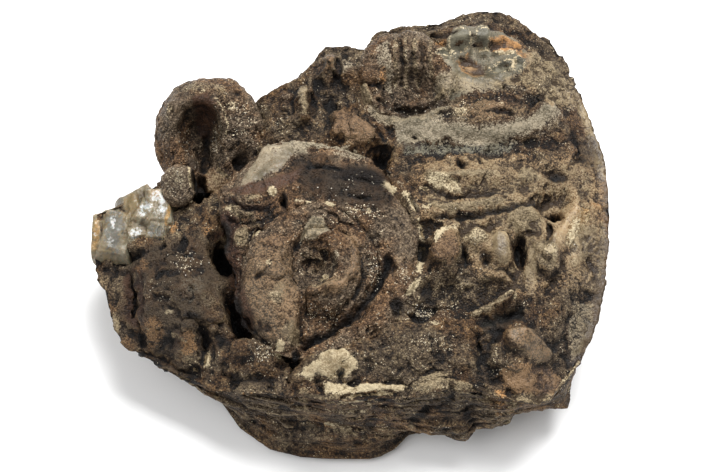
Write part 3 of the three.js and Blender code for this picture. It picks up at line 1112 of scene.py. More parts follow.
@dataclass(frozen=True)
class Weather:
    """Broken stone: the size and the height, in mm, of each thing that roughens it."""

    strength: float = 1.0  # height of the whole relief, as a share of the full one
    swells: tuple[float, float] = (5.0, 0.9)
    crags: tuple[float, float] = (3.4, 1.0)
    pits: tuple[float, float] = (1.5, 0.9)
    chips: tuple[float, float] = (2.7, 0.7)
    grit: tuple[float, float] = (0.8, 0.3)
    domes: tuple[float, float] = (1.5, 0.5)  # only on chalcedony
    stray: tuple[float, float] = (2.5, 0.8)  # how the edges of the marks wander
    warp: tuple[float, float] = (2.0, 0.7)  # how the chips are bent
    wear: float = 0.9  # how much of the marks' relief is left
    polish: float = 0.65  # how much of the roughness a smooth stain takes away
    side_wear: float = 0.36  # roughness of steep sides, as a share of the face's

    PIT_RADIUS = 0.6  # in cell widths
    MEAN = 0.5  # the middle value of crags, chips and domes

    def roughen(self, surface: Surface, salt: int) -> None:
        """Roughens a surface: lumps, ledges and pits, but little where it is smooth.

        Args:
            surface: the surface to change.
            salt: chooses one of many such reliefs.
        """
        upwards = ease(*UPRIGHT, surface.normals()[:, 2])
        size, height = self.stray
        stray = [height * fractal(surface.points, size, 3, 950 + i) for i in range(2)]
        carved = relief(FACE, surface.points[:, 0] + stray[0], surface.points[:, 1] + stray[1])
        surface.points[:, 2] += self.wear * carved * upwards
        here = surface.points
        tints = tinted(FACE, here[:, 0], here[:, 1])
        crags = self.MEAN - np.abs(fractal(here, self.crags[0], 2, salt))
        middle, depth = cells(here, self.pits[0], salt + 10)
        grit, _ = cells(here, self.grit[0], salt + 20)
        swells = fractal(here, self.swells[0], 4, salt + 30)
        bowl = self.PIT_RADIUS - np.minimum(middle, self.PIT_RADIUS)
        amount = self.swells[1] * swells + self.crags[1] * crags - self.pits[1] * depth * bowl
        bent = here + self.warp[1] * rough(here, self.warp[0], salt + 40)[:, None]
        _, chips = cells(bent, self.chips[0], salt + 50)
        amount += self.chips[1] * (chips - self.MEAN) - self.grit[1] * grit
        domes, _ = cells(here, self.domes[0], salt + 60)
        polished, domed = tints[Stain.SMOOTH] * upwards, tints[Stain.GREY] * upwards
        amount = amount * (1.0 - self.polish * polished) * mix(self.side_wear, 1.0, upwards)
        surface.push(self.strength * (amount + self.domes[1] * domed * (self.MEAN - domes * domes)))


# ---- the face, area by area ----


def fan(apex: Point, headings: Sequence[float], inner: float, outer: float, reach: float) -> list[Stroke]:
    """Straight strokes that spread from one point.

    Args:
        apex: where they would meet.
        headings: their directions in degrees.
        inner: how far from the apex they start.
        outer: how far from it they end.
        reach: how far each spreads to either side.

    Returns:
        The strokes.
    """
    strokes = []
    for heading in headings:
        angle = math.radians(heading)
        forth, aside = math.cos(angle), math.sin(angle)
        ends = [(apex[0] + away * forth, apex[1] + away * aside) for away in (inner, outer)]
        strokes.append(Stroke(tuple(ends), reach))
    return strokes


LEFT_PLATEAU = (
    patch(0, (-44, -6), (-27, -4), (-24, -12), (-27, -27), (-40, -29), (-45, -20), soft=3, dark=0.3,
          rust=0.12),
    # the recess under the quartz, darkened with painted shade, and the rusty hollow in front of it
    spot(-43, -7, 3, 1.1, -2.4, dark=0.9),
    spot(-38, -3.4, 0.9, 0.8, -1.4, dark=0.5),
    patch(0, (-43.8, -10), (-41, -9.4), (-40, -14), (-40.4, -19), (-42, -21), (-44, -18), rust=0.8),
    line(0.9, -2.2, (-43, -9.4), (-42, -13), (-41.6, -16.6), (-41.8, -19.6), dark=0.5),
    line(1.2, 0.8, (-44, -11.4), (-43.8, -16), (-43.4, -19.4), tan=0.2),
    spot(-40.6, -10.4, 1.4, 1.8, 0.4, ochre=0.45),
    # brown mounds, and the grooves between them
    spot(-38.2, -23, 2.4, 2.6, 1.4, ochre=0.6, tan=0.2),
    spot(-31.2, -25.8, 2.2, 2.2, 0.9, ochre=0.5, pink=0.2),
    spot(-33.6, -25.2, 1.2, 2, 0.5, rust=0.35),
    line(0.7, -1.1, (-40.8, -19.6), (-40.4, -22), (-40.4, -24.6), dark=0.4),
    line(0.8, -2.6, (-28.4, -22.4), (-28.4, -24.4), (-28.6, -26.6), dark=0.9, rust=0.4),
    line(0.8, -1.3, (-32.6, -21.4), (-29.6, -22), (-26.6, -22.4), (-24, -22.6), dark=0.7),
    line(0.8, -1, (-43, -26.4), (-40, -25.6), (-37, -26.2), (-34.6, -28.4), dark=0.3),
    line(0.9, -1.1, (-39, -29), (-36, -27.8), (-33, -29), (-30, -30.2), dark=0.5),
    spot(-24.8, -25.4, 1.4, 1.8, -0.9, dark=0.6),
    # the flat middle: small ledges, creases and a grey-green film
    spot(-30.4, -16, 3, 3.6, 0.9, crown=0.5, grey=0.3),
    spot(-27.6, -18.6, 1.8, 1.8, 0.4, tan=0.4),
    line(0.6, -0.9, (-37.8, -13.4), (-36, -12.4), (-33.6, -13.2), dark=0.4),
    line(0.7, -0.8, (-36.8, -8.2), (-34.4, -9), (-32.2, -8.2), (-30.2, -9.6)),
    line(0.7, -0.9, (-37.4, -4.4), (-36.4, -6.4), (-37, -8.4)),
    line(0.6, -1, (-33, -4), (-32.6, -6), (-33.4, -7.6)),
    line(0.6, -0.8, (-31.8, -15), (-30.4, -17.4), (-31.2, -20)),
    line(0.7, 0.7, (-39, -16.8), (-36.8, -16.2), (-34.2, -17.6), (-32.6, -19.6)),
    line(0.9, 0.8, (-27.4, -6.4), (-28.4, -9), (-28.2, -11.6)),
    spot(-35.2, -5.6, 1.6, 1.5, 0.7),
    spot(-30.8, -6, 1.8, 1.8, 0.6, rust=0.2),
    spot(-28.2, -2.6, 1.3, 1.8, 0.5, ochre=0.4),
    spot(-34.8, -1.6, 1, 2, 0.3, ochre=0.55),
    spot(-35, -20.2, 0.9, 0.5, 0.3, cream=0.7),
    spot(-38.6, -14, 0.6, 0.8, 0.3, cream=0.5),
    spot(-31.5, -10, 4.3, 3.4, glint=0.8),
    spot(-37.4, -16, 3.8, 3, glint=0.6),
    # its front and left edges
    spot(-27.8, -27.8, 0.8, 1.6, 0.6, cream=0.85),
    spot(-30.4, -28.8, 1.2, 0.7, 0.3, cream=0.5, tan=0.4),
    spot(-38.2, -30.6, 2, 1.2, 0.5, grey=0.4, tan=0.5),
    spot(-33.2, -32.6, 1.8, 1.1, 0.5, tan=0.8, ochre=0.3),
    spot(-45.4, -20, 0.9, 2.4, 0.6, tan=0.9),
    spot(-44.8, -24.6, 1, 2, tan=0.7, ochre=0.3),
    spot(-48.6, -11.6, 1.2, 2, tan=0.5, ochre=0.3),
    spot(-36, -30, 5, 1.4, dark=0.3),
)

CREVICES = (
    # the rusty walls of the gaps beside the large coil, and painted shade that blackens their bottoms
    patch(0, (-26.8, -2.6), (-22.8, -1), (-21.6, -7), (-22.6, -13), (-26, -11), rust=1),
    line(1.2, 0, (-23, 1), (-23.4, -2.4), (-23.6, -6), rust=0.9),
    line(2.2, 0, (-22.8, -8), (-22.4, -14), (-21, -20), (-18, -26), rust=0.7),
    spot(-25, -7, 1.6, 3.4, dark=1.2),
    spot(-22.6, -20.6, 1.4, 3.6, turn=12, dark=1.2),
    spot(-30.2, 8.2, 1.2, 2.8, -6.4, crown=0.6, dark=1.3),
    # the round hole above the large coil, blackened with painted shade, and a dark crack that leads up from
    # it
    spot(5.4, 9.8, 1.9, 2.1, -6, crown=0.5, dark=1.2),
    line(0.8, -1.4, (0, 19.2), (2.4, 17), (4.8, 15.2), (6, 12.6), dark=1),
    spot(7.5, 12.2, 0.6, 0.7, 0.5, ochre=0.5, cream=0.3),
)

OPEN_COIL_MARKS = (
    # inside: a smooth rusty roof, a dark slit and a sparkling right wall
    patch(0, (-31.4, 22.6), (-28.6, 23.2), (-27, 21.4), (-28.2, 20), (-30.8, 20.2), rust=0.8, smooth=0.5),
    line(1.1, -1, (-29, 21), (-29.2, 17.6), (-29.6, 14.2), (-29.6, 11.4), dark=0.6),
    spot(-27, 18.2, 1.5, 3.4, 0.3, glint=0.8, tan=0.25),
    spot(-33.4, 16.4, 2.4, 4.4, glint=0.5, dark=0.15),
    spot(-31, 13, 1.8, 1.6, dark=0.4),
    spot(-36.2, 20.6, 0.9, 1.6, 0.6, cream=0.3, tan=0.3),
    line(0.4, 0.2, (-27.2, 22.8), (-25.6, 20.8), (-25, 18.4), (-25.4, 15.6), cream=0.5, tan=0.4),
    # outside: olive streaks over the top, a pit, white grains
    spot(-25.8, 23.6, 1, 2.4, turn=12, ochre=0.35, tan=0.4),
    spot(-30, 25, 5, 1.6, tan=0.35, slate=0.3),
    spot(-29.6, 23.8, 1.2, 0.5, 0.2, cream=0.45),
    spot(-24, 21.4, 1.4, 1.2, 0.3, cream=0.4, glint=0.6),
    spot(-22.8, 24.4, 0.7, 0.6, -0.7, dark=0.6),
    spot(-21.4, 19, 3.2, 3.6, glint=0.4),
    spot(-35, 22.6, 3, 3.4, turn=30, smooth=0.35),
    spot(-38, 17, 1.4, 4, smooth=0.35),
    # the smooth hook and the dark lens between it and the large coil
    patch(0.5, (-29.4, 12.4), (-27, 12.2), (-24.8, 10), (-23.6, 8), (-25, 6.4), (-28.6, 7.4), smooth=0.8,
          tan=0.3),
    spot(-22.4, 13.2, 1.8, 1.6, -2, dark=0.6),
    line(0.6, 0.7, (-26.6, 14.6), (-26.4, 12), (-24.6, 10.2), (-22, 9.6), (-20, 11), (-18.8, 13), tan=0.5),
    spot(-18.4, 14.6, 1.6, 0.7, -1.3, dark=0.9),
    line(0.5, 0.2, (-33.8, 11.6), (-32.4, 10), (-31.9, 7.6), (-31.8, 4.8), taper=0.1, cream=0.7),
    spot(-34.4, 6.8, 3, 3.4, slate=0.3, tan=0.2, glint=0.5),
)

CHALCEDONY = (
    (-21.8, 2.8), (-21.2, 5.2), (-19.2, 8.6), (-17.4, 12.4), (-12.8, 12), (-11.4, 9), (-14.2, 5.8),
    (-19.6, 2.9),
)

COIL_SHOULDER = (
    # a cap of waxy chalcedony over bent strata
    patch(0.6, *CHALCEDONY, soft=0.4, grey=0.7, slate=0.25, pink=0.2, smooth=1),
    patch(0.3, (-14, 12.8), (-9, 12.2), (-8.6, 9.6), (-12.6, 9.2), grey=0.6, smooth=0.5),
    spot(-15.4, 10.6, 3, 1.4, 0.7, turn=-6, cream=0.25),
    patch(0.4, (-24.6, 2.4), (-21.6, 2.4), (-17, 3.4), (-12, 5.4), (-10, 6), (-11, 3.6), (-15, 1.2),
          (-21, 0.4), rust=0.75, smooth=0.6),
    line(0.6, -1.1, (-24.8, 1.4), (-22.8, -0.8), (-20.2, -1.6), (-17.4, -1.8), (-14.6, -0.8), rust=0.9,
         dark=0.5),
    line(1.1, 0.8, (-23.8, -1.8), (-21.6, -2.9), (-18.8, -3.2), tan=0.7),
    line(0.5, -1, (-25, -2.6), (-22.8, -4.4), (-20, -4.9), (-17, -4.2), rust=0.9),
    spot(-23.4, -1.4, 1.6, 0.9, 0.2, turn=-20, tan=0.9, cream=0.3),
    spot(-19.4, 0, 1.8, 0.5, 0.3, tan=0.9, ochre=0.4),
    spot(-15.6, 1.2, 0.9, 1.1, 1, cream=0.95),
    spot(-13.4, -0.8, 0.7, 1.8, -2.2, dark=0.9),
    spot(-21.2, -7.6, 1.5, 1.8, 1.2, tan=1, ochre=0.2),
    spot(-18.4, -7.4, 0.8, 1, 0.8, cream=0.9),
    spot(-18.6, -4.9, 1.3, 0.9, 0.3, tan=0.7, ochre=0.3),
    spot(-15, -9.6, 2.2, 1.8, 0.5, pink=0.35),
    # the rim along its back, grey on the left
    line(0.8, 0.9, (-17.4, 12.6), (-13, 12.6), (-8, 12), (-3, 11.2), (1, 10), (5, 7.8), (8.4, 4),
         (10.8, -1), taper=0.03, grey=0.3),
    line(0.9, 0, (-12, 12.6), (-7, 12), (-1, 11), (3.4, 9), grey=0.6, cream=0.2),
    spot(-1, 9.6, 3.4, 0.9, 0.3, turn=-12, grey=0.4),
    line(1, 0.5, (-11, 9.6), (-7.4, 9), (-3, 8.4), dark=0.3),
    line(0.7, -0.7, (-10, 6.4), (-6, 6.6), (-2, 6), dark=0.4),
    patch(0, (-11, 8), (4, 7), (8, 1), (5, -3), (-10, 0.6), soft=2, dark=0.5),
    spot(2, 5, 6, 2, dark=0.45, glint=0.3),
    line(0.8, -1.1, (-2.8, 3.8), (1, 3.8), (4, 3.4), (6.6, 3), dark=0.6),
    spot(-3, 1.4, 8, 2.6, glint=0.6),
)

LARGE_COIL_MARKS = (
    # white grains and creases between the rim and the inner whorl
    line(0.4, 0.5, (-12, -1), (-9, -1.2), (-6.4, -1.4), cream=0.6),
    spot(-4.6, -1.6, 0.9, 0.6, 0.5, cream=0.8),
    spot(2.7, -3, 0.5, 0.8, 0.5, cream=0.7),
    line(0.4, 0, (-1, -2.4), (0.6, -2.8), (1.6, -2.6), cream=0.5),
    spot(1.4, -2.8, 4.4, 1.8, glint=0.9),
    line(0.7, -0.7, (-8, -3), (-4.4, -3.6), (-2, -4.6)),
    line(0.7, -0.8, (-1.4, 0.6), (1, -0.4), (3.4, 0.2), dark=0.4),
    line(0.4, -0.8, (7.6, -5.2), (8, -7.4), dark=0.5),
    # the bright chips on the outer lip
    line(1.1, 0.8, (5, 3.4), (6.6, 3), (8.2, 2), cream=1.3),
    line(1.1, 0.8, (9.4, 1.6), (10.8, -0.4), (12, -2.6), cream=0.9, tan=0.7, ochre=0.3),
    spot(13.8, -1.8, 1.1, 0.6, 0.3, cream=0.9),
    line(0.9, 0.9, (12.4, -3.6), (13, -8), (12.7, -13), (11.6, -17), (9.6, -20), taper=0.1, cream=0.85,
         tan=0.4),
    line(0.7, -1.2, (10.8, 1), (11.7, -1.2), (12.6, -3.4), dark=0.6),
    patch(0, (6.5, -3), (8, 1), (10.6, -2), (11.6, -8), (10.8, -15), (8.6, -18), (7, -16), (7.8, -10),
          smooth=0.3, tan=0.15),
    spot(9.2, -15.4, 1.8, 2.6, 0.5, glint=0.9, grey=0.2),
    # the deep groove under the last whorl, darkened with painted shade
    line(1.5, -2.6, (6.8, -11), (5.8, -14.4), (3.6, -18.2), (0.6, -21.6), (-3, -24.6), (-7, -27),
         (-10.4, -29.2), taper=0.12, dark=0.95),
    spot(3.9, -13.6, 1.8, 3.4, 0.3, glint=1),
    # the smooth ridge round the hollow centre, and its square end
    line(2, 0.9, (-3.4, -5.8), (-0.6, -8), (0.6, -11.5), (0.2, -15.2), (-1.8, -18), (-4.4, -19.2),
         (-7.4, -19.2), smooth=0.6, tan=0.4, pink=0.45),
    spot(-7.2, -11.9, 2.8, 3.1, -1.7, crown=0.4, tan=0.2),
    line(0.8, -0.8, (-8.4, -13), (-6, -12.4), (-5.4, -10.2)),
    spot(-3.4, -12.8, 0.8, 1.3, 0.3, grey=0.4),
    spot(-5.4, -15.4, 0.9, 0.8, 0.7, cream=0.8),
    spot(-6, -17.6, 3.6, 1.8, 0.9, crown=0.4, tan=0.25),
    line(2.4, 0.9, (-10.4, -19.2), (-7, -19.8), (-3, -19.2), cliff=True),
    spot(-6.2, -23, 4.4, 3, -1.4, crown=0.4, dark=0.15, glint=0.6),
    patch(0.9, (-10, -8.4), (-9.4, -6.6), (-8, -5.2), (-6, -5.2), (-4.4, -7.6), (-7, -8.8), soft=0.4,
          grey=0.9, tan=0.3),
    line(2.2, 0.9, (-18, -7.2), (-13.4, -3.4), (-7, -2.6), (1, -4.4), (5.4, -8.4)),
    # the rough lobe on its left: facets and whitish spots
    patch(0, (-18, -9), (-13, -9.4), (-10.8, -14), (-10, -20), (-10.4, -28), (-14, -29.6), (-18.6, -25),
          (-21, -17), smooth=0.3, tan=0.3, pink=0.3),
    line(2.4, 0.6, (-10.8, -29), (-10.4, -25), (-10, -21), (-10.4, -18), cliff=True, taper=0.25),
    line(0.7, -0.6, (-19.4, -18), (-17, -16.8), (-14.2, -17.6), (-11.8, -16.6), dark=0.3),
    line(0.7, -0.7, (-14.4, -1.4), (-16.8, -4), (-18.6, -7.4)),
    spot(-17.6, -15.2, 1.3, 1.4, 0.7, cream=0.15),
    spot(-13.4, -20, 1.3, 1.6, 0.7, tan=0.4),
    spot(-15.8, -14.6, 0.6, 0.8, cream=0.5),
    spot(-14.6, -21.4, 1.6, 1.3, 0.4, turn=-30, cream=0.35, tan=0.5),
    spot(-11.8, -27.4, 1.8, 1.6, 0.3, tan=0.9, cream=0.25, smooth=0.5),
)

TOP_MIDDLE = (
    # a standing shard, grooves on either side
    patch(1.6, (-11.2, 25.4), (-9.6, 25.8), (-8.8, 24), (-9, 19), (-10.6, 18.8), soft=0.4, tan=0.8,
          smooth=0.3),
    line(0.7, -0.8, (-12.2, 24.8), (-12, 22), (-12.2, 19), dark=0.4),
    line(0.9, -0.9, (-8, 25.2), (-7.6, 22), (-8, 19), dark=0.6),
    spot(-14.4, 19.4, 1.7, 2, -0.6, glint=0.5),
    spot(-13.4, 24.4, 1.6, 1.3, 0.7, grey=0.3),
    # the knobs of the skyline
    spot(-5.2, 30.4, 2.5, 2.7, 1.8, pink=0.45, smooth=0.4),
    spot(-1.4, 30.2, 1.7, 2, 0.9, grey=0.45, smooth=0.4),
    line(0.8, -1.3, (-2.8, 32), (-2.8, 29.4), (-4, 27.8), dark=0.5),
    spot(-4.8, 23.4, 1.6, 1.6, -0.8, dark=0.3),
    spot(-5, 18, 1, 1.6, -0.8),
    line(0.8, -1.1, (0.6, 26.4), (3.6, 25.2), (6.4, 24.4), dark=0.4),
    line(1, 0.8, (1.4, 26.4), (2.4, 23.6), (3.2, 21), tan=0.9, smooth=0.4),
    patch(0, (4.2, 33), (7, 33.6), (7.4, 28), (7.6, 24.6), (5.8, 24.6), (4.8, 28), grey=0.45),
    spot(5.4, 26.8, 0.9, 1.5, 0.3, ochre=0.5),
    # a brown wedge of two halves
    patch(1.6, (-4.2, 21), (-2, 21.8), (0, 18.8), (3.4, 15), (4.6, 12.8), (3.4, 11.8), (0.4, 12.2),
          (-4, 13.6), pink=0.6, tan=0.4, smooth=0.35),
    line(0.5, -0.6, (0, 18.2), (-0.6, 15.4), (-0.4, 12.4), dark=0.3),
    spot(1.8, 14.2, 2.2, 1.4, 0.3, turn=-30, tan=0.5),
)

RIBBED_COIL_MARKS = (
    *(line(0.7, -0.6, (x, 34.4), (x + 0.3, 30), (x, 25.6), dark=0.25) for x in (9.1, 11.1, 13.1)),
    *(line(0.9, 0.5, (x, 35), (x, 30), (x + 0.4, 25), tan=0.4) for x in (8, 10.1, 12.1, 14.8)),
    patch(-1.4, (4.6, 22.2), (9, 22.6), (14, 22.4), (17.6, 21.6), (17, 19.6), (13, 18.4), (9, 18.4),
          (6.4, 19.8), soft=0.5, dark=0.35, glint=0.6),
    spot(10.4, 20.4, 5.2, 1.8, -1.4, crown=0.5),
    spot(11.2, 20.8, 1.1, 0.7, 0.4, cream=0.5, glint=0.8),
    spot(17, 22.6, 1.4, 1.2, 0.5, tan=0.6),
    line(0.8, -0.8, (15.4, 26), (16.2, 23), (15, 20.4)),
    line(0.9, -1.4, (15.2, 37), (18.4, 35.6), (21, 36.2), dark=0.7),
    line(1.2, 0.9, (13, 38), (17, 38), (20.6, 39.2), (24.8, 39.6)),
    # its pale lower lip
    line(1.6, 1.4, (2.8, 22.6), (3.8, 20), (6, 17.8), (9.4, 16.8), (13.4, 17), (17.2, 18.4), (20, 21),
         grey=0.75, tan=0.3, smooth=0.3),
)

BAND_PATH = (
    (7.6, 14.6), (12, 15.2), (17, 14.4), (22, 13.3), (27, 13.4), (32, 14.8), (36.4, 17.2), (39.6, 20.8),
)
CHAMBER_GREY = (
    (17.4, 33), (19.4, 36.6), (23, 37.6), (27.6, 37), (31.6, 36), (34, 33.4), (34.6, 30), (32.4, 27.4),
    (29.4, 26), (25.8, 25.2), (22.4, 25.4), (19.4, 27), (17.4, 29.8),
)
CHAMBERS = (  # middle, half sizes and turn of the rounded chambers in the grey chalcedony
    (20.9, 34.4, 2.2, 2.1, 20), (25.3, 34.7, 1.3, 2.1, 0), (29, 29.2, 2.4, 1.2, 10), (32, 29.4, 1.3, 1.5, 0),
    (17.8, 31.2, 1.8, 1, 10),
)
BUBBLES = (  # middle and half size
    (32.4, 22.6, 1), (30.4, 23.4, 0.8), (34.4, 23, 0.8), (36.6, 21.8, 1), (37.8, 19.8, 0.9),
    (27.6, 17.2, 1.2), (15.6, 16.8, 1.3), (30, 17.6, 0.8), (20.6, 17, 0.9), (24, 19.6, 0.8),
)

CHAMBERED_STONE = (
    patch(0.2, *CHAMBER_GREY, grey=0.75, slate=0.45, smooth=0.7),
    patch(0.1, (15.6, 26), (20, 27.6), (26, 27.4), (31, 26.6), (31, 24.2), (26, 23.2), (20, 22.6),
          (16, 22.6), soft=0.9, grey=0.6, slate=0.2, tan=0.3, smooth=0.5),
    *(mark(Loop(*place, turn, 0.5), 0.5, grey=0.5, cream=0.42) for *place, turn in CHAMBERS),
    *(spot(*place, 0.7, turn=turn, slate=0.7, smooth=0.6) for *place, turn in CHAMBERS[:2]),
    *(spot(*place, -0.6, turn=turn, crown=0.6, slate=0.7) for *place, turn in CHAMBERS[2:]),
    *(mark(Loop(x, y, size, size, 0, 0.4), 0.4, grey=0.3) for x, y, size in BUBBLES),
    # orange grains in three of the cells, with a white lip under the widest
    patch(-0.7, (26.8, 34.4), (29.6, 35.2), (33.2, 34.4), (32.4, 32.8), (29.6, 32.4), (26.8, 32.8),
          ochre=2),
    line(0.5, 0.6, (27.2, 32.4), (29.6, 32), (32, 32.4), cream=1),
    patch(-0.5, (20.6, 30.8), (22.4, 32), (23.6, 30.8), (25.6, 29.4), (25.8, 27.4), (23.4, 27),
          (21.6, 28.6), ochre=1.4, tan=0.3),
    spot(33, 31.8, 1.2, 1.2, -0.4, ochre=0.7),
    spot(17, 34.2, 1.4, 0.8, 0.2, ochre=0.6),
    spot(29.4, 24.2, 0.5, 0.7, -1.2, dark=0.6),
    # crumbly brown stone to the right of them
    patch(0.2, (34.6, 34), (38.6, 33.4), (42, 27), (43, 22), (38, 20), (33, 24.6), (28, 24.6), (33.6, 28),
          soft=1.2, ochre=0.7, tan=0.8),
    spot(41.6, 22.6, 2.1, 2, 0.9, grey=0.75, slate=0.2),
    spot(29.4, 22, 2.4, 1.4, -0.4, ochre=0.35, pink=0.35),
    spot(20, 23, 2, 1.5, -0.4, slate=0.5),
    # the pale band that sweeps across, with crumbly stone above it
    line(2.8, 0.7, *BAND_PATH, taper=0.04, grey=0.9, slate=0.15, smooth=0.5),
    patch(0, (9, 12.8), (16, 12.2), (22, 11.8), (31, 12.4), (30, 10.4), (20, 9.8), (10, 10.4), slate=0.45,
          smooth=0.5),
    line(1.4, 0, (8, 13.4), (13, 13.4), (18, 12.6), grey=0.8, cream=0.1),
    patch(-0.3, (18.4, 19.8), (22, 21.2), (27, 21.8), (31.4, 20.8), (34, 18.6), (30, 17), (24.6, 16),
          (20, 16.8), tan=0.5, pink=0.35, ochre=0.2),
    spot(20.4, 18, 1.6, 1.5, 0.3, cream=0.4, tan=0.6),
    spot(28, 19.6, 1.6, 1.8, 0.2, pink=0.5, cream=0.2),
    line(0.6, -0.8, (24.6, 17.6), (28, 18), (30.6, 17.4), dark=0.6),
    line(0.5, -0.8, (33.4, 18.6), (35.6, 20.8), (37, 23), dark=0.6),
    spot(20.6, 18.6, 3.2, 2.6, glint=0.5),
)

STRATA_PITCH = 0.85
STRATA = (
    # fine strata that bend round the chambers
    mark(Ripples((26.5, 28), STRATA_PITCH, Oval(24.6, 1.6, 12, 4.6, crown=0.6)), 0.18),
    patch(0, (12.6, 8), (24, 9.6), (36, 8.4), (47, 12), (47.6, -4), (38, -16), (28, -18), (13, -4), soft=3,
          tan=0.55, ochre=0.6, smooth=0.35),
    spot(20.4, 6.8, 0.8, 1.5, -2.6, dark=1.2),
    spot(23.8, 8, 0.5, 1, -1.2, dark=0.7),
    spot(33.4, 5.6, 1.8, 1.4, 0.6, tan=0.8),
    spot(39, 6, 2.4, 1.2, -1.2, dark=0.7),
    spot(45, 11, 2.2, 3.2, 0.5, dark=0.3),
    line(0.9, 0.8, (12.8, 5.2), (17, 3.8), (22, 4.2), (28, 4.4), tan=0.5),
    patch(0.4, (13.4, 4), (16, 4.4), (19.6, 2.6), (20.4, 1.2), (18.4, 1), (14.4, 2.6), soft=0.4,
          cream=0.55, tan=0.4),
    spot(13.4, 2.2, 1.4, 0.6, 0.2, cream=0.4),
    line(0.7, -0.9, (13, 3), (18.6, 0.4), (24, 0.6), (28, 1.6), dark=0.45),
    line(0.8, 0.7, (13.4, -0.6), (18.6, -2), (24.4, -1.2), (29, 0), tan=0.9),
    line(0.9, -1.5, (13.8, -3.2), (19, -4), (24.6, -3.2), (31, -1.2), (38, 1.2), dark=0.8),
    line(0.5, 0.3, (16.4, -2.6), (22, -3), (28, -1.8), (34, -0.4), tan=0.8),
    spot(23.8, -2, 0.7, 0.7, 0.2, ochre=0.8),
    spot(17, -4, 3.4, 1.6, glint=0.6),
    line(0.9, 0.6, (31, 12.2), (35, 10.6), (37.4, 7), tan=0.2),
    line(0.8, -0.8, (42, 18), (43.4, 14.6), (43, 11), dark=0.4),
    spot(32.6, -3.4, 3.6, 2.8, 1.5, crown=0.4, tan=0.4),
    spot(38.6, -1.4, 1.4, 1.4, -3.2, dark=1),
    line(0.9, -1.6, (36.8, -2.6), (37.4, -6), (36.2, -9), dark=0.5),
)

NODULES = (
    # two pale-capped nodules with reddish sides, in front of the strata
    spot(17.2, -10, 3, 4, 1.9, crown=0.4, pink=0.35),
    line(1.3, 0.4, (15.4, -9.6), (16.4, -7.4), (18.2, -6.2), (20.4, -6.2), cream=0.75),
    spot(15.6, -9.6, 0.9, 1, cream=0.4),
    spot(17.2, -11.8, 2.2, 2.4, 0.5, pink=0.8, rust=0.15),
    spot(12.9, -10, 0.8, 2.8, -3, dark=1),
    spot(23, -8, 2.4, 1.8, 1.7, cream=0.5, tan=0.5, glint=0.4),
    spot(24.4, -10, 1.2, 1.2, 0.4, rust=0.4, pink=0.3),
    spot(24.8, -11.6, 1.2, 1.4, -1.6, dark=0.9),
    spot(20.8, -11, 0.7, 2.2, -1.5, dark=0.7),
    patch(1.4, (26.4, -6.8), (29.4, -6.4), (30, -12.6), (27.4, -13.4), (26.2, -10.8), tan=0.25, smooth=0.7),
    spot(31, -8.6, 0.9, 2.6, dark=1.1),
    spot(23, -12.4, 5, 1.8, glint=0.5),
    # the blade, the whitish knob and fine lines that fan out from it
    patch(0.8, (32, -7), (34.2, -6.6), (34.6, -13), (34, -19), (32.2, -18.6), soft=0.5, rust=0.4,
          smooth=0.4, tan=0.2),
    patch(1.5, (34.4, -9), (36.6, -8.4), (39.2, -11), (39, -14), (36.6, -14.6), (34.4, -13), grey=0.75,
          tan=0.3),
    patch(0.9, (42.6, 1), (43.8, -0.6), (41.8, -5), (39.4, -9.6), (37, -12.6), (35.4, -11), (37.6, -7),
          (40.4, -2.4), grey=0.8, cream=0.15, smooth=0.6),
    spot(36.8, -11.2, 1.4, 1, 0.4, turn=-30, cream=0.6),
    *(mark(stroke, -0.35, dark=0.15) for stroke in fan((37.6, -10.6), (-38, -50, -62, -74, -86), 4, 12, 0.4)),
    *(mark(stroke, 0.35, tan=0.3) for stroke in fan((38.4, -15), (44, 48, 52), 4, 13, 0.3)),
    mark(Ripples((37.6, -6.6), 0.9, Oval(41.6, -16.4, 4.4, 5)), 0.22),
    patch(0, (42, -5), (46.8, -2.6), (47, -10), (43.6, -16), (40, -18), (40.6, -10), ochre=0.2, tan=0.3,
          smooth=0.5),
    spot(46.6, 1.4, 1, 1, 0.3, ochre=0.7),
    line(3.4, 0, (44, 26), (47, 17), (48.8, 8), (49, -4), (47.6, -13), (44.6, -23), (41, -31), taper=0.03,
         smooth=0.9, dark=0.14, rust=0.15),
    line(0.9, 0, (47.8, -1.6), (47.4, -7), (46.8, -13), taper=0.05, tan=0.5),
    patch(0.2, (41.4, -18.4), (45.4, -17.4), (45, -22), (43, -26.6), (40.4, -29), (40.2, -24), grey=0.45,
          tan=0.3),
)

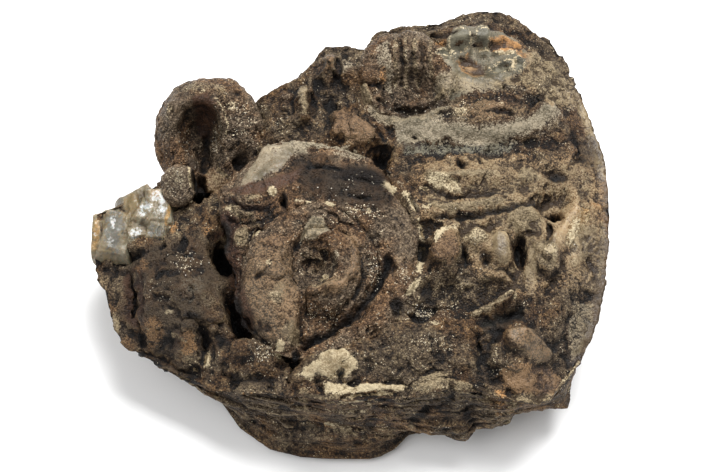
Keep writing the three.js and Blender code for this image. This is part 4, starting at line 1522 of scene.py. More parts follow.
LOWER_RIGHT = (
    # the dark eye and the tan ridge that curls round it
    spot(20, -17.6, 7.4, 2.8, -0.5, turn=-4, crown=0.5, tan=0.3),
    spot(23.4, -18, 3.2, 1.9, 0.5, rust=0.35, smooth=0.3),
    line(0.9, 0.9, (24, -14.6), (27.2, -15.4), (30, -15.6), grey=0.25),
    line(0.6, -0.7, (25.8, -14.4), (28.8, -14.2), (30.6, -15), dark=0.7),
    line(1.2, 1.3, (21, -22.6), (24.4, -22), (27.4, -20.4), (30, -17.8), tan=1, cream=0.2),
    spot(29.2, -18.6, 1.1, 1.3, 0.4, turn=40, tan=0.6, cream=0.45, ochre=0.2),
    spot(29, -21.6, 2.4, 1.1, -1.2, dark=0.4),
    patch(-0.4, (23.6, -23.6), (27, -22), (31.4, -20.6), (32, -23.4), (28, -25.6), (24, -26), dark=0.5,
          slate=0.3),
    spot(26.6, -26.6, 1.6, 1.8, -1.2, dark=0.5, rust=0.3),
    spot(17.2, -21, 2, 0.6, -0.8, dark=0.4),
    line(1.1, 0.9, (8, -22.6), (12, -22), (16.4, -23), (20.4, -24.2), grey=0.3, cream=0.12),
    spot(8, -21.6, 1.5, 1.4, -1.2, dark=0.9),
    spot(13.6, -17.8, 1.4, 2, -0.9, dark=0.6),
    line(0.3, 0.3, (13.4, -17.8), (11.8, -20), (10.4, -21.4), cream=0.7),
    spot(14, -21.6, 5.6, 1.8, glint=0.8),
    # smooth brown domes towards the front corner
    patch(1.6, (28.2, -26.6), (31, -26), (35, -26.6), (37.6, -28.6), (36.6, -31.2), (33, -31.6),
          (29.8, -30), (28, -28.4), tan=0.35, grey=0.3, pink=0.35, smooth=0.9),
    spot(26.2, -30.6, 1.6, 2, 1.3, tan=0.2),
    patch(0.7, (26.6, -33.4), (31, -32.2), (36.8, -31.4), (39, -33.4), (38, -36), (33, -37), (28.4, -36.4),
          tan=0.3, ochre=0.6, pink=0.4, smooth=0.5),
    patch(0.3, (28.2, -37), (33, -37), (36.4, -36.4), (36, -38), (32.8, -39.4), (29.4, -39), tan=1),
    spot(27.2, -37.2, 1.3, 0.9, 0.3, ochre=0.9, rust=0.4),
    line(0.6, 0.7, (42.4, -29), (40.2, -32), (38.4, -35), (37, -37.4), taper=0.05, cream=0.55, tan=0.6),
    line(0.6, -0.6, (43.4, -29.6), (41.2, -32.6), (39.4, -35.6), (38, -38), dark=0.5),
    line(0.8, -0.9, (23, -25), (23.6, -29), (22.8, -33), dark=0.4),
    spot(39.6, -38, 3, 1.4, dark=0.4),
)

FRONT_EDGE = (
    # the cream patch of calcite with two small pits darkened with painted shade, and the white layer under it
    patch(0.6, (-10, -34.4), (-9.4, -33), (-6.6, -32.2), (-6, -30.6), (-3.8, -29.8), (-1.6, -30.4),
          (0.2, -32.2), (0.4, -34), (-1, -35.4), (-5, -35.4), (-8, -35.2), soft=0.4, cream=1, smooth=0.5,
          tan=0.3),
    spot(-6.8, -35, 0.8, 0.7, -1.5, dark=1),
    spot(-2.5, -34.8, 1, 0.8, -1.5, dark=1),
    spot(-3.4, -31.8, 2.6, 1.6, 0.5),
    patch(0.9, (-6, -36.2), (-1, -36.6), (5, -36), (9.2, -36.4), (9, -37.6), (4, -37.9), (-1, -38.4),
          (-5.6, -38), soft=0.4, cream=0.95, tan=0.15),
    line(0.4, -0.6, (-2.8, -36.6), (-1.4, -37.4), (-2.2, -38), ochre=0.4),
    # fine strata, grains and low mounds behind it
    mark(Ripples((-4.7, -13.6), STRATA_PITCH, Oval(9, -28.6, 8.8, 5, crown=0.6)), 0.15),
    spot(13.8, -29.4, 5, 2.2, glint=0.5),
    spot(28, -32.6, 3, 1.8, glint=0.5),
    spot(15, -24.6, 1.6, 0.6, 0.2, cream=0.4),
    spot(-13.8, -29.6, 1, 0.8, 0.8, cream=0.95),
    spot(-11, -30.4, 0.7, 1.2, -1.5, dark=0.9),
    line(0.8, -1.6, (-11, -30.6), (-12, -33), (-11.6, -35), dark=0.7),
    spot(-20.4, -28.6, 5, 3, 1.4, crown=0.4, rust=0.15, pink=0.2),
    spot(-17.4, -30, 2.8, 2, glint=1),
    line(0.8, -1, (-25.2, -22), (-21.4, -23.6), (-18, -25.6), (-14.6, -27.4), dark=0.4),
    line(0.9, -1.3, (-26, -30), (-21, -33), (-17, -34), (-14, -34), dark=0.9),
    # the tan crest of the front edge
    line(1.1, 1, (9.4, -38), (13, -36.8), (17, -35.6), (20, -36), (24, -37), (28, -38), tan=1),
    spot(15, -35.2, 2.6, 1, 0.3, tan=0.9, cream=0.15),
    line(0.6, 0.3, (9, -37.4), (14, -34.6), (18.6, -34), tan=0.7),
    line(0.7, 0.2, (-12, -37), (-6.4, -38.4), (-1.8, -38.9), (4, -39), (9, -38.6), tan=0.8),
    spot(-9.4, -36.8, 1.4, 0.6, 0.3, tan=0.7, ochre=0.3),
)

FRONT_SIDE = (
    # the lighter lowest layer, and dark seams across the side
    patch(0, (-24, -37.6), (-10, -39), (6, -39.6), (12, -38.6), (10, -43), (-20, -43), soft=0.5, tan=0.4,
          smooth=0.5),
    line(0.6, 0, (-13, -40.2), (-6, -41), (-1.6, -41), tan=0.6),
    spot(8.4, -40.2, 1, 0.9, ochre=0.9, cream=0.2),
    spot(-20, -36.6, 1.4, 1, ochre=0.7),
    spot(-12.4, -39.8, 2.4, 1.2, ochre=0.4),
    line(0.9, 0, (10, -39), (17, -38), (23, -38.6), (28, -39.4), dark=0.8),
    line(0.6, 0, (-14, -37.6), (-8, -38), (-4, -38.4), dark=0.5),
)

LIT_FLANK = (
    # the smoother bevel along the right edge, with tan painted along it as the highlight where light catches
    # the edge
    patch(0, (37, 36.4), (40, 34), (44, 26), (47.6, 17), (49, 8), (47.4, 8), (45.4, 16), (42.6, 24),
          (38.6, 31), smooth=0.4, tan=0.35),
    line(1.3, 0, (43.8, 24.6), (46.6, 18), (48.4, 10), tan=0.4),
)

FACE = (
    *LEFT_PLATEAU, *CREVICES, *OPEN_COIL_MARKS, *COIL_SHOULDER, *LARGE_COIL_MARKS, *TOP_MIDDLE,
    *RIBBED_COIL_MARKS, *CHAMBERED_STONE, *STRATA, *NODULES, *LOWER_RIGHT, *FRONT_EDGE, *FRONT_SIDE,
    *LIT_FLANK,
    spot(0, 0, 60, 55, glint=0.06),  # a faint glitter everywhere
)

QUARTZ_MARKS = (
    spot(-49.8, -2.6, 0.9, 3.6, ochre=0.9, cream=0.3),
    spot(-48.6, -2, 0.4, 3, dark=0.5),
    spot(-46.2, -2.4, 2.2, 5.4, grey=0.8, smooth=1),
    spot(-46.4, -0.8, 0.6, 2.4, turn=8, cream=0.4),
    spot(-46.8, -7, 1.8, 1.4, tan=0.5, ochre=0.3),
    spot(-43, 2.8, 1.6, 3, tan=0.8, ochre=0.45, smooth=0.4),
    spot(-40.2, 1.8, 1.6, 2.6, turn=-15, cream=0.55, smooth=1),
    spot(-38.6, 4.8, 1.2, 1.4, turn=15, ochre=0.6, cream=0.3),
    spot(-37.4, 2.2, 1.2, 3, cream=0.45, tan=0.4, smooth=0.8),
    spot(-35.9, 1, 0.5, 3, ochre=0.7),
    spot(-38.2, -3, 2, 1.8, grey=0.5, pink=0.5, smooth=0.5),
    spot(-42, -3, 1.6, 1.2, cream=0.5, ochre=0.2),
    spot(-40.4, -0.8, 1.2, 0.5, turn=30, dark=0.5),
    spot(-44.2, -3.4, 0.6, 1.6, dark=0.4),
    spot(-41.4, 6, 2.2, 1, tan=0.6, grey=0.3),
    spot(-49.2, 1.4, 0.7, 0.9, dark=0.7),
)

SHELL_MARKS = (
    spot(40.4, -5, 4, 8, tan=0.5),
    spot(43.8, 1.6, 1.2, 1.4, ochre=0.5),
    spot(41.8, -5.4, 1, 3.4, turn=-20, cream=0.7),
    spot(38.8, -10.6, 1.2, 1.1, cream=0.5),
    spot(42.4, -2, 1.2, 2.6, turn=-20, grey=0.4),
    spot(42, 1.6, 1, 0.6, dark=0.6),
    spot(40.6, -9.6, 0.8, 0.8, dark=0.4),
)


@dataclass(frozen=True)
class Whorl:
    """One turn of a coil.

    Each station gives its direction in degrees, the turn's outer radius there, the height of its outer
    seam, and how far it arches above its seams.
    """

    stations: tuple[tuple[float, float, float, float], ...]

    def shape(self, angle: Array) -> tuple[Array, Array, Array]:
        """The turn's shape, eased from one station to the next.

        Args:
            angle: directions in radians.

        Returns:
            The outer radius, seam and swell in each direction.
        """
        table = np.array(self.stations)
        here = np.mod(np.degrees(angle) - table[0, 0], 360.0) + table[0, 0]
        i = np.searchsorted(table[:, 0], here, side="right") - 1
        after = (i + 1) % len(table)
        ends = np.where(after == 0, table[0, 0] + 360.0, table[after, 0])
        share = ease(table[i, 0], ends, here)[:, None]
        radius, seam, swell = mix(table[i, 1:], table[after, 1:], share).T
        return radius, seam, swell


@dataclass(frozen=True)
class CoiledShell:
    """An ammonite: turns of a coil that arch above their seams, and a plain bowl under them."""

    name: str
    node: str
    at: tuple[float, float, float]
    tilt: tuple[float, float, float]  # turn about X, Y and Z in degrees
    middle: float  # height of the coil's middle
    depth: float  # how far the bowl reaches down
    whorls: tuple[Whorl, ...]
    carving: tuple[Mark, ...] = ()
    drum: Drum = Drum(130, 14)
    triangles: int = 90_000
    bumps: float = 0.8  # height of its crags and pits, as a share of the block's
    ribs: int = 0  # folds across the last turn
    rib_rise: float = 0.0
    ripples: float = 0.0  # height of the fine growth lines
    crest: float = 1.0  # below 1 the turns are highest near their inner seam
    fullness: float = 0.75  # 0.5 is a half-round turn, and more is a flatter one with softer seams
    floor: float = 2.5  # how flat the middle is before it bends to its edge

    UNDER = math.radians(60.0)  # how far round the bowl's side goes before its bottom starts
    GROWTH = 96  # growth lines in a full turn
    SWEEP = 0.5  # how far they lag behind at the outer seam, in radians
    CARVED = (-0.2, 0.4)  # how far up a normal points from where the carving shows, and where it does fully

    def axes(self) -> Array:
        """The tilt.

        Returns:
            A matrix that turns the coil's own axes to the block's.
        """
        (cx, cy, cz), (sx, sy, sz) = (f(np.radians(self.tilt)) for f in (np.cos, np.sin))
        about_x = np.array([[1, 0, 0], [0, cx, -sx], [0, sx, cx]])
        about_y = np.array([[cy, 0, sy], [0, 1, 0], [-sy, 0, cy]])
        about_z = np.array([[cz, -sz, 0], [sz, cz, 0], [0, 0, 1]])
        return about_x @ about_y @ about_z

    def placed(self, angle: Array, radius: Array, height: Array) -> Array:
        """Points of the coil's own frame, in the block's frame."""
        return ringed(angle, radius, height) @ self.axes().T + np.array(self.at)

    def outer(self, angle: Array) -> Array:
        """The whole coil's radius at each angle."""
        return self.whorls[-1].shape(angle)[0]

    def top_point(self, angle: Array, share: Array) -> Array:
        """Places the points of the coil's upper side, as in `Place`."""
        last = len(self.whorls) - 1
        radius, height = np.zeros(len(angle)), np.zeros(len(angle))
        turn = np.minimum(np.floor(share * len(self.whorls)), last)
        for i, whorl in enumerate(self.whorls):
            here = turn == i
            across = share[here] * len(self.whorls) - i
            outer, seam, swell = whorl.shape(angle[here])
            if i:
                inner, inner_seam, _ = self.whorls[i - 1].shape(angle[here])
                arch = np.maximum(1.0 - (2.0 * across**self.crest - 1.0) ** 2, 0.0) ** self.fullness
                height[here] = mix(inner_seam, seam, across) + swell * arch
            else:
                inner = 0.0
                arch = across * (1.0 - across)
                height[here] = mix(self.middle, seam, across**self.floor) + swell * arch
            radius[here] = mix(inner, outer, across)
            if i == last:
                height[here] += self.rib_rise * arch * np.cos(self.ribs * angle[here])
            sweep = angle[here] + self.SWEEP * across * across
            height[here] += self.ripples * arch * np.cos(self.GROWTH * sweep)
        return self.placed(angle, radius, height)

    def side_point(self, angle: Array, share: Array) -> Array:
        """Places the points of the bowl's side."""
        fall = share * self.UNDER
        return self.placed(angle, self.outer(angle) * np.cos(fall), -self.depth * np.sin(fall))

    def bottom_point(self, angle: Array, share: Array) -> Array:
        """Places the points of the bowl's bottom."""
        level = share * math.cos(self.UNDER)
        return self.placed(angle, self.outer(angle) * level, -self.depth * np.sqrt(1.0 - level**2))

    def inside(self, x: Array, y: Array) -> Array:
        """How far each place of the plan lies inside the coil's outline, in mm."""
        local = np.stack([x - self.at[0], y - self.at[1], np.zeros(len(x))], axis=1) @ self.axes()
        return self.outer(np.arctan2(local[:, 1], local[:, 0])) - np.hypot(local[:, 0], local[:, 1])

    def surface(self) -> Surface:
        """Shapes the coil.

        Returns:
            Its surface, carved and roughened.
        """
        made = self.drum.shaped(self.top_point, self.side_point, self.bottom_point)
        upwards = ease(*self.CARVED, made.normals()[:, 2])
        made.points[:, 2] += relief(self.carving, made.points[:, 0], made.points[:, 1]) * upwards
        Weather(self.bumps).roughen(made, 30)
        return made.thinned(self.triangles)

    def build(self, finish: Material) -> Object:
        """Makes the coil in its finish."""
        return dressed(self.name, self.surface(), FACE, finish, self.node)


LARGE = CoiledShell(
    name="large_coil",
    node="large_ammonite",
    at=(-7.6, -14.4, 24),
    tilt=(5, -1, 0),
    middle=0.4,
    depth=7,
    fullness=0.55,
    whorls=(
        Whorl(((0, 3.6, 1.8, 0), (90, 3.2, 2, 0), (180, 3.2, 1, 0), (270, 3.2, 1.2, 0))),
        Whorl((
            (0, 9.2, 0.8, 2.8), (45, 9.4, 1.2, 2.6), (90, 8, 2.2, 1.6), (125, 5.6, 2.4, 0.7),
            (158, 4.2, 1.6, 0.2), (180, 3.9, 1.3, 0), (225, 4, 1, 0), (248, 4.4, 1, 0.2),
            (266, 7.6, 0.8, 2.2), (300, 8.6, 0, 3),
        )),
        Whorl((
            (0, 12.6, 0.6, 0.2), (45, 12.8, 1.6, 1), (90, 13, 2, 2.2), (125, 13, 1.6, 3.6),
            (158, 13.3, 0.8, 4.6), (180, 13.8, 0.2, 5), (210, 15, -0.2, 5.2), (235, 16.2, -0.4, 4.8),
            (251, 16.4, -0.4, 4), (261, 14.4, -0.6, 0.4), (300, 12.2, -0.6, 0), (330, 12.4, 0, 0.1),
        )),
        Whorl((
            (0, 19.4, 0, 2.3), (40, 22.6, 0, 2.3), (75, 27, 0, 2.5), (105, 28.6, 0, 2.6), (133, 26, 0, 2.4),
            (158, 18, 0, 1.2), (180, 14.7, -0.6, 0.2), (210, 15.7, -0.8, 0), (235, 16.9, -0.8, 0),
            (262, 17, 0, 0.3), (300, 16.6, 0, 1.8), (330, 18.2, 0, 2.2),
        )),
    ),
    drum=Drum(190, 24),
    triangles=170_000,
)

OPEN = CoiledShell(
    name="open_coil",
    node="open_ammonite",
    at=(-29, 17.4, 20.6),
    tilt=(24, -6, 0),
    middle=-3.2,
    depth=4.5,
    whorls=(
        Whorl((
            (0, 3.4, 2.4, 0), (35, 4.4, 3, 0), (70, 6.2, 3.2, 0), (92, 6.9, 3.1, 0), (118, 6.9, 2.6, 0),
            (146, 5.6, 1.8, 0), (180, 5, 0.8, 0), (225, 4.6, 0.2, 0), (270, 5.4, -1, 0), (315, 3.8, 1.2, 0),
        )),
        Whorl((
            (0, 11, 0, 1.6), (25, 12, 0, 2.2), (50, 12.9, 0, 2.8), (70, 13.1, 0, 3.4), (90, 13, 0, 3.7),
            (135, 11.7, 0, 3.6), (180, 10.4, 0, 2.6), (225, 10.1, 0, 1.8), (270, 10, 0, 0.8),
            (315, 10.2, 0, 0.8),
        )),
    ),
    carving=(
        # the rough floor lies higher on the left, and the slit beside it deeper
        spot(-35, 14.6, 2.2, 4, 1.6, crown=0.4),
        spot(-35.4, 21, 1.8, 2, 1.2),
        spot(-35.6, 20.6, 0.8, 0.9, -0.8),
        spot(-29.6, 15.4, 1.6, 3.6, -1),
        spot(-26.8, 16.6, 0.8, 2, 0.8),
        # its right side has sunk in two places
        spot(-23.4, 20, 2.8, 4, -0.8),
        spot(-21.8, 13.4, 2.4, 2.2, -1.6),
    ),
    bumps=0.6,
    ripples=0.05,
    crest=0.8,
    fullness=0.5,
)

RIBBED = CoiledShell(
    name="ribbed_coil",
    node="ribbed_ammonite",
    at=(10.8, 24.6, 28),
    tilt=(14, -2, 0),
    middle=-1.6,
    depth=4.5,
    whorls=(
        Whorl(((0, 5.4, 0.6, 0), (90, 4, 0.6, 0), (180, 5, 0.6, 0), (270, 4.4, 0.6, 0))),
        Whorl((
            (0, 9.6, 0, 2.3), (50, 11, 0, 2.3), (90, 12.6, 0, 2.3), (130, 12.4, 0, 2.3), (180, 9, 0, 2.3),
            (270, 6.8, 0, 2.3),
        )),
    ),
    ribs=16,
    rib_rise=0.2,
)

SMALL = CoiledShell(
    name="small_coil",
    node="small_ammonite",
    at=(-34.4, 6, 22),
    tilt=(18, -14, 0),
    middle=2.2,
    depth=4,
    floor=5.0,
    bumps=0.5,
    whorls=(
        Whorl((
            (0, 3.7, 0, 0.3), (45, 4.6, 0, 0.3), (90, 4.7, 0, 0.2), (135, 4, 0, 0), (180, 3.1, 0, 0),
            (225, 3.4, 0, 0), (270, 3.6, 0, 0), (315, 3.7, 0, 0.2),
        )),
    ),
    drum=Drum(70, 10),
    triangles=24_000,
)

SHELLS = (LARGE, OPEN, RIBBED, SMALL)



SOCKET_DEPTH = 6.0  # how far the stone is sunk under a coiled shell
SOCKET_SLOPE = 3.0  # over how wide a margin it sinks

LUMPS = (  # middle, half sizes, turn and rise of the larger lumps and hollows
    (-25.2, -7.4, 2.6, 4.4, 8, -10), (-22, -20, 2.3, 5.4, 24, -8.5), (-29.6, 9.8, 2.2, 3.6, -4, -8),
    (-37, -12, 8, 7, 10, 2), (-30, -19, 6, 6.5, 12, 2.6), (-39, -21, 5, 4, -30, 2.4),
    (-44.4, -9, 3.4, 2.6, 20, -3.5), (-43, -15, 2, 5, 8, -2.6), (-28.6, -25, 1.8, 3.4, 0, -2.6),
    (-33.5, -25.5, 4.5, 3.5, -25, 1.6), (-20.5, -30, 6.5, 3.6, -10, 2.8), (-13, -31.5, 3, 3.4, 0, -2.2),
    (-5, -32.8, 5.6, 3.8, 6, 2), (8, -29.5, 9, 5, 10, 1.6), (-13, 21, 6, 5, 20, 2),
    (-9.4, 25, 1.6, 6, -6, 2), (-5.5, 31.5, 3.6, 4, 0, 3), (0.4, 14.4, 5.4, 4.4, -20, 2.2),
    (-3, 23, 4.4, 4.4, 0, -1.6), (22, 36.5, 12, 2.6, -3, 2.6), (24, 30, 7, 3.6, -10, -1.6),
    (24, 17.5, 13, 3, 10, 1.8), (39, 22, 5.5, 7, 24, 1.6), (24, 11, 15, 2.4, 6, -1.2),
    (22, 4.5, 12, 3.2, 0, 1.8), (26, -1.5, 13, 3, 8, 1.6), (38.5, 1, 4, 3, 40, -3.6), (17, -10.5, 4, 5, 0, 2),
    (23.6, -9, 2.8, 3, 0, 1.4), (28, -10, 2.6, 5.6, 4, 1.8), (31.4, -9, 1.2, 3.6, 4, -3.8),
    (36, -10, 3.4, 5.6, -16, 2), (14, -5.5, 2.4, 2, 0, -1.6), (21.5, -19.5, 8.5, 4, -4, -2.4),
    (27.4, -20.6, 5, 1.8, 28, 2.8), (13, -22, 3.4, 2.6, 20, -2.4), (30.6, -28, 4.8, 4, -10, 2.4),
    (24.5, -29, 2.6, 5, 10, -1.8), (33, -33.6, 6, 3.4, 0, 1.6), (38.6, -22, 2.6, 9, -20, 1.8),
)

RIM = (  # x, y and height of the edge of the face
    (49.4, 0, 22), (48.8, 12, 23), (47, 18, 24), (44.7, 24.5, 25), (41.9, 32, 26), (39.4, 37, 27),
    (36.6, 38.6, 27), (32.4, 41.4, 28), (28, 43.5, 29), (23, 42.4, 29), (17, 40.2, 29), (11, 38.9, 29.2),
    (4.4, 37.6, 29.2), (2, 34.6, 28), (-1.8, 35.8, 27), (-5.7, 35.8, 27), (-8.3, 32.2, 26),
    (-10.6, 28.8, 26), (-14.6, 27.6, 25), (-18.2, 25.8, 24), (-25, 23.5, 17), (-32, 16, 16),
    (-37.8, 9.2, 19), (-41.6, 6, 20), (-45.5, 3.2, 20), (-50, 2, 19), (-50.6, -2, 18), (-50.2, -6.5, 17.5),
    (-49.8, -9.4, 16), (-48, -13, 16), (-47.3, -16, 15), (-46.3, -19.6, 14), (-43.6, -24, 14),
    (-38.7, -27.2, 14), (-33, -30.6, 13.5), (-26.2, -33.6, 14), (-19.4, -36.1, 18), (-10, -37.8, 20),
    (-4.4, -39.2, 21), (8.5, -39, 21), (17.8, -36.5, 21), (27, -38.4, 20), (34.5, -38.6, 18),
    (37, -36.6, 17), (43, -28.8, 17), (46.2, -20.6, 18), (48, -13, 20), (48.6, -8.2, 21),
)
SHELF = (  # the widest layer of the side
    (47.5, 0), (46.5, 14), (42, 26), (36.5, 35), (26, 39.5), (14, 38), (3, 33.5), (-8, 29), (-18, 22.5),
    (-28, 16), (-37, 8), (-45.5, 1), (-46.5, -9), (-44, -19), (-38.5, -26), (-32, -30.6), (-25, -34.2),
    (-19.8, -36.4), (-10.2, -38.6), (-0.8, -39.6), (9.6, -40.4), (16.2, -41.2), (21.9, -42.2), (23.4, -39.5),
    (30.4, -38.9), (31.3, -36.4), (41.8, -35.4), (42.6, -30.4), (43.4, -24), (45.6, -13),
)
FOOT = (  # the edge of the underside
    (42, 0), (40, 14), (34, 26), (22, 33), (8, 32), (-6, 27), (-18, 19), (-28, 11), (-34, 2), (-35, -9),
    (-32, -19), (-27, -28), (-22, -35.5), (-16.1, -40), (-10.3, -41.6), (-0.8, -42.3), (3.1, -42.5),
    (7.8, -40), (10.5, -37), (19, -35), (30, -33), (37, -28), (40, -14),
)
LEVELS = (  # x, y and height of the face between its lumps
    (-42, -4, 20.5), (-34, -14, 21.5), (-39, -22, 16.5), (-27, -28, 18), (-8, -16, 24), (-22, 6, 21.5),
    (0, 8, 26), (9, -26, 25), (-8, -34, 22.5), (10, -35, 22.5), (27, -34, 20.5), (-14, 21, 24.5), (0, 19, 28),
    (9, 33, 29), (28, 37, 30), (20, 8, 29.5), (30, 20, 30.5), (42, 10, 26.5), (38, -4, 25), (37, -18, 23.5),
    (42, -25, 19.5), (22, -12, 26), (22, -24, 24.5), (-30, 14, 15),
)


@dataclass(frozen=True)
class StoneBlock:
    """The block of layered stone, with its crowded upper face."""

    drum: Drum = Drum(210, 90)
    triangles: int = 195_000
    shelf_height: float = 8.0  # height of the widest layer of the side
    foot_height: float = 1.6  # height at which the side ends
    calm_height: float = 5.0  # below this the side is worn smoother
    worn_height: float = 0.5  # and below this it is plain
    flat_share: float = 0.84  # share of the foot's radius that lies on the ground
    rim_blend: float = 0.2  # share of the face's radius over which it bends to the rim
    face_spread: float = 8.5  # over what distance the face passes from one level to the next
    rim: Outline = Outline(RIM)
    shelf: Outline = Outline(SHELF)
    foot: Outline = Outline(FOOT)
    carving: tuple[Mark, ...] = tuple(spot(*place, rise, turn=turn) for *place, turn, rise in LUMPS)
    # the beds of the side: their thickness, how far their edges differ, and the salt of the difference
    beds: tuple[tuple[float, float, int], ...] = ((2.3, 1.5, 50), (1.0, 0.8, 60), (0.5, 0.3, 70))
    bed_run: float = 8.0  # over how many mm the edge of a bed changes
    bed_wave: float = 1.2  # how far the beds rise and fall, in mm
    bed_wave_size: float = 16.0

    APART = 37.0  # sets the edge of each bed apart from the next one's
    TOP_EDGE, BOTTOM_EDGE = 0.06, 0.04  # shares of the side over which its beds fade out

    def lie(self, x: Array, y: Array) -> Array:
        """Height of the face between its lumps.

        Args:
            x, y: places in plan.

        Returns:
            The mean of the levels about each place, where near ones count for more.
        """
        total, weights = np.zeros(len(x)), np.zeros(len(x))
        for px, py, height in LEVELS:
            weight = np.exp(-((x - px) ** 2 + (y - py) ** 2) / (2.0 * self.face_spread**2))
            total += weight * height
            weights += weight
        return total / weights

    def face_point(self, angle: Array, share: Array) -> Array:
        """Places the points of the upper face, as in `Place`."""
        radius, height = self.rim.reach(angle)
        x, y = share * radius * np.cos(angle), share * radius * np.sin(angle)
        inner = self.lie(x, y) + relief(self.carving, x, y)
        for shell in SHELLS:
            inner -= SOCKET_DEPTH * ease(0.0, SOCKET_SLOPE, shell.inside(x, y))
        return np.stack([x, y, mix(inner, height, ease(1.0 - self.rim_blend, 1.0, share))], axis=1)

    def side_point(self, angle: Array, share: Array) -> Array:
        """Places the points of the layered side, as in `Place`."""
        rim, top = self.rim.reach(angle)
        shelf, foot = self.shelf.reach(angle)[0], self.foot.reach(angle)[0]
        height = mix(top, self.foot_height, share)
        above = np.maximum((height - self.shelf_height) / (top - self.shelf_height), 0.0)
        below = np.maximum((self.shelf_height - height) / (self.shelf_height - self.foot_height), 0.0)
        radius = shelf + (rim - shelf) * above + (foot - shelf) * below
        here = ringed(angle, radius, height)
        level = height + self.bed_wave * fractal(here * [1, 1, 0], self.bed_wave_size, 3, 40)
        inset = np.zeros(len(angle))
        for thickness, depth, salt in self.beds:
            along = np.stack([here[:, 0], here[:, 1], np.floor(level / thickness) * self.APART], axis=1)
            inset += depth * (0.5 + 0.5 * fractal(along, self.bed_run, 2, salt))
        fade = ease(0.0, self.TOP_EDGE, share)
        return ringed(angle, radius - inset * fade * ease(0.0, self.BOTTOM_EDGE, 1.0 - share), height)

    def base_point(self, angle: Array, share: Array) -> Array:
        """Places the points of the bottom, flat in the middle and lifted towards its edge."""
        lift = self.foot_height * ease(self.flat_share, 1.0, share)
        return ringed(angle, share * self.foot.reach(angle)[0], lift)

    def surface(self) -> Surface:
        """Shapes the block.

        Returns:
            Its surface, roughened above and worn smooth towards the ground.
        """
        made = self.drum.shaped(self.face_point, self.side_point, self.base_point)
        plain = made.points.copy()
        Weather().roughen(made, 1)
        broken = ease(self.worn_height, self.calm_height, plain[:, 2])
        made.points[:] = mix(plain, made.points, broken[:, None])
        made.points[:, 2] = np.maximum(made.points[:, 2], 0.0)
        return made.thinned(self.triangles)

    def build(self, finish: Material) -> Object:
        """Makes the block in its finish."""
        return dressed("stone_block", self.surface(), FACE, finish, "matrix", layers=1.0)


@dataclass(frozen=True)
class Slab:
    """A flat-topped, square-edged block of quartz, broken along its own planes."""

    x: float
    y: float
    half_x: float
    half_y: float
    turn: float
    top: float
    slope_x: float  # how far its top rises for each millimetre along its own axes
    slope_y: float

    BEVEL = 0.5  # how far its top falls towards its edges, in mm
    BEVEL_SHARE = 0.3  # over what share of its half width
    FALL = 3.5  # how steeply its sides stand

    def height(self, x: Array, y: Array) -> Array:
        """Measures its surface.

        Args:
            x, y: places in plan.

        Returns:
            The height above each place, which goes on down past its edges.
        """
        across, along = turned(x - self.x, y - self.y, self.turn)
        out = np.maximum(np.abs(across) - self.half_x, np.abs(along) - self.half_y)
        edge = min(self.half_x, self.half_y)
        top = self.top + self.slope_x * across + self.slope_y * along
        bevel = self.BEVEL * ease(-self.BEVEL_SHARE * edge, 0.0, out)
        return top - bevel - self.FALL * np.maximum(out, 0.0)


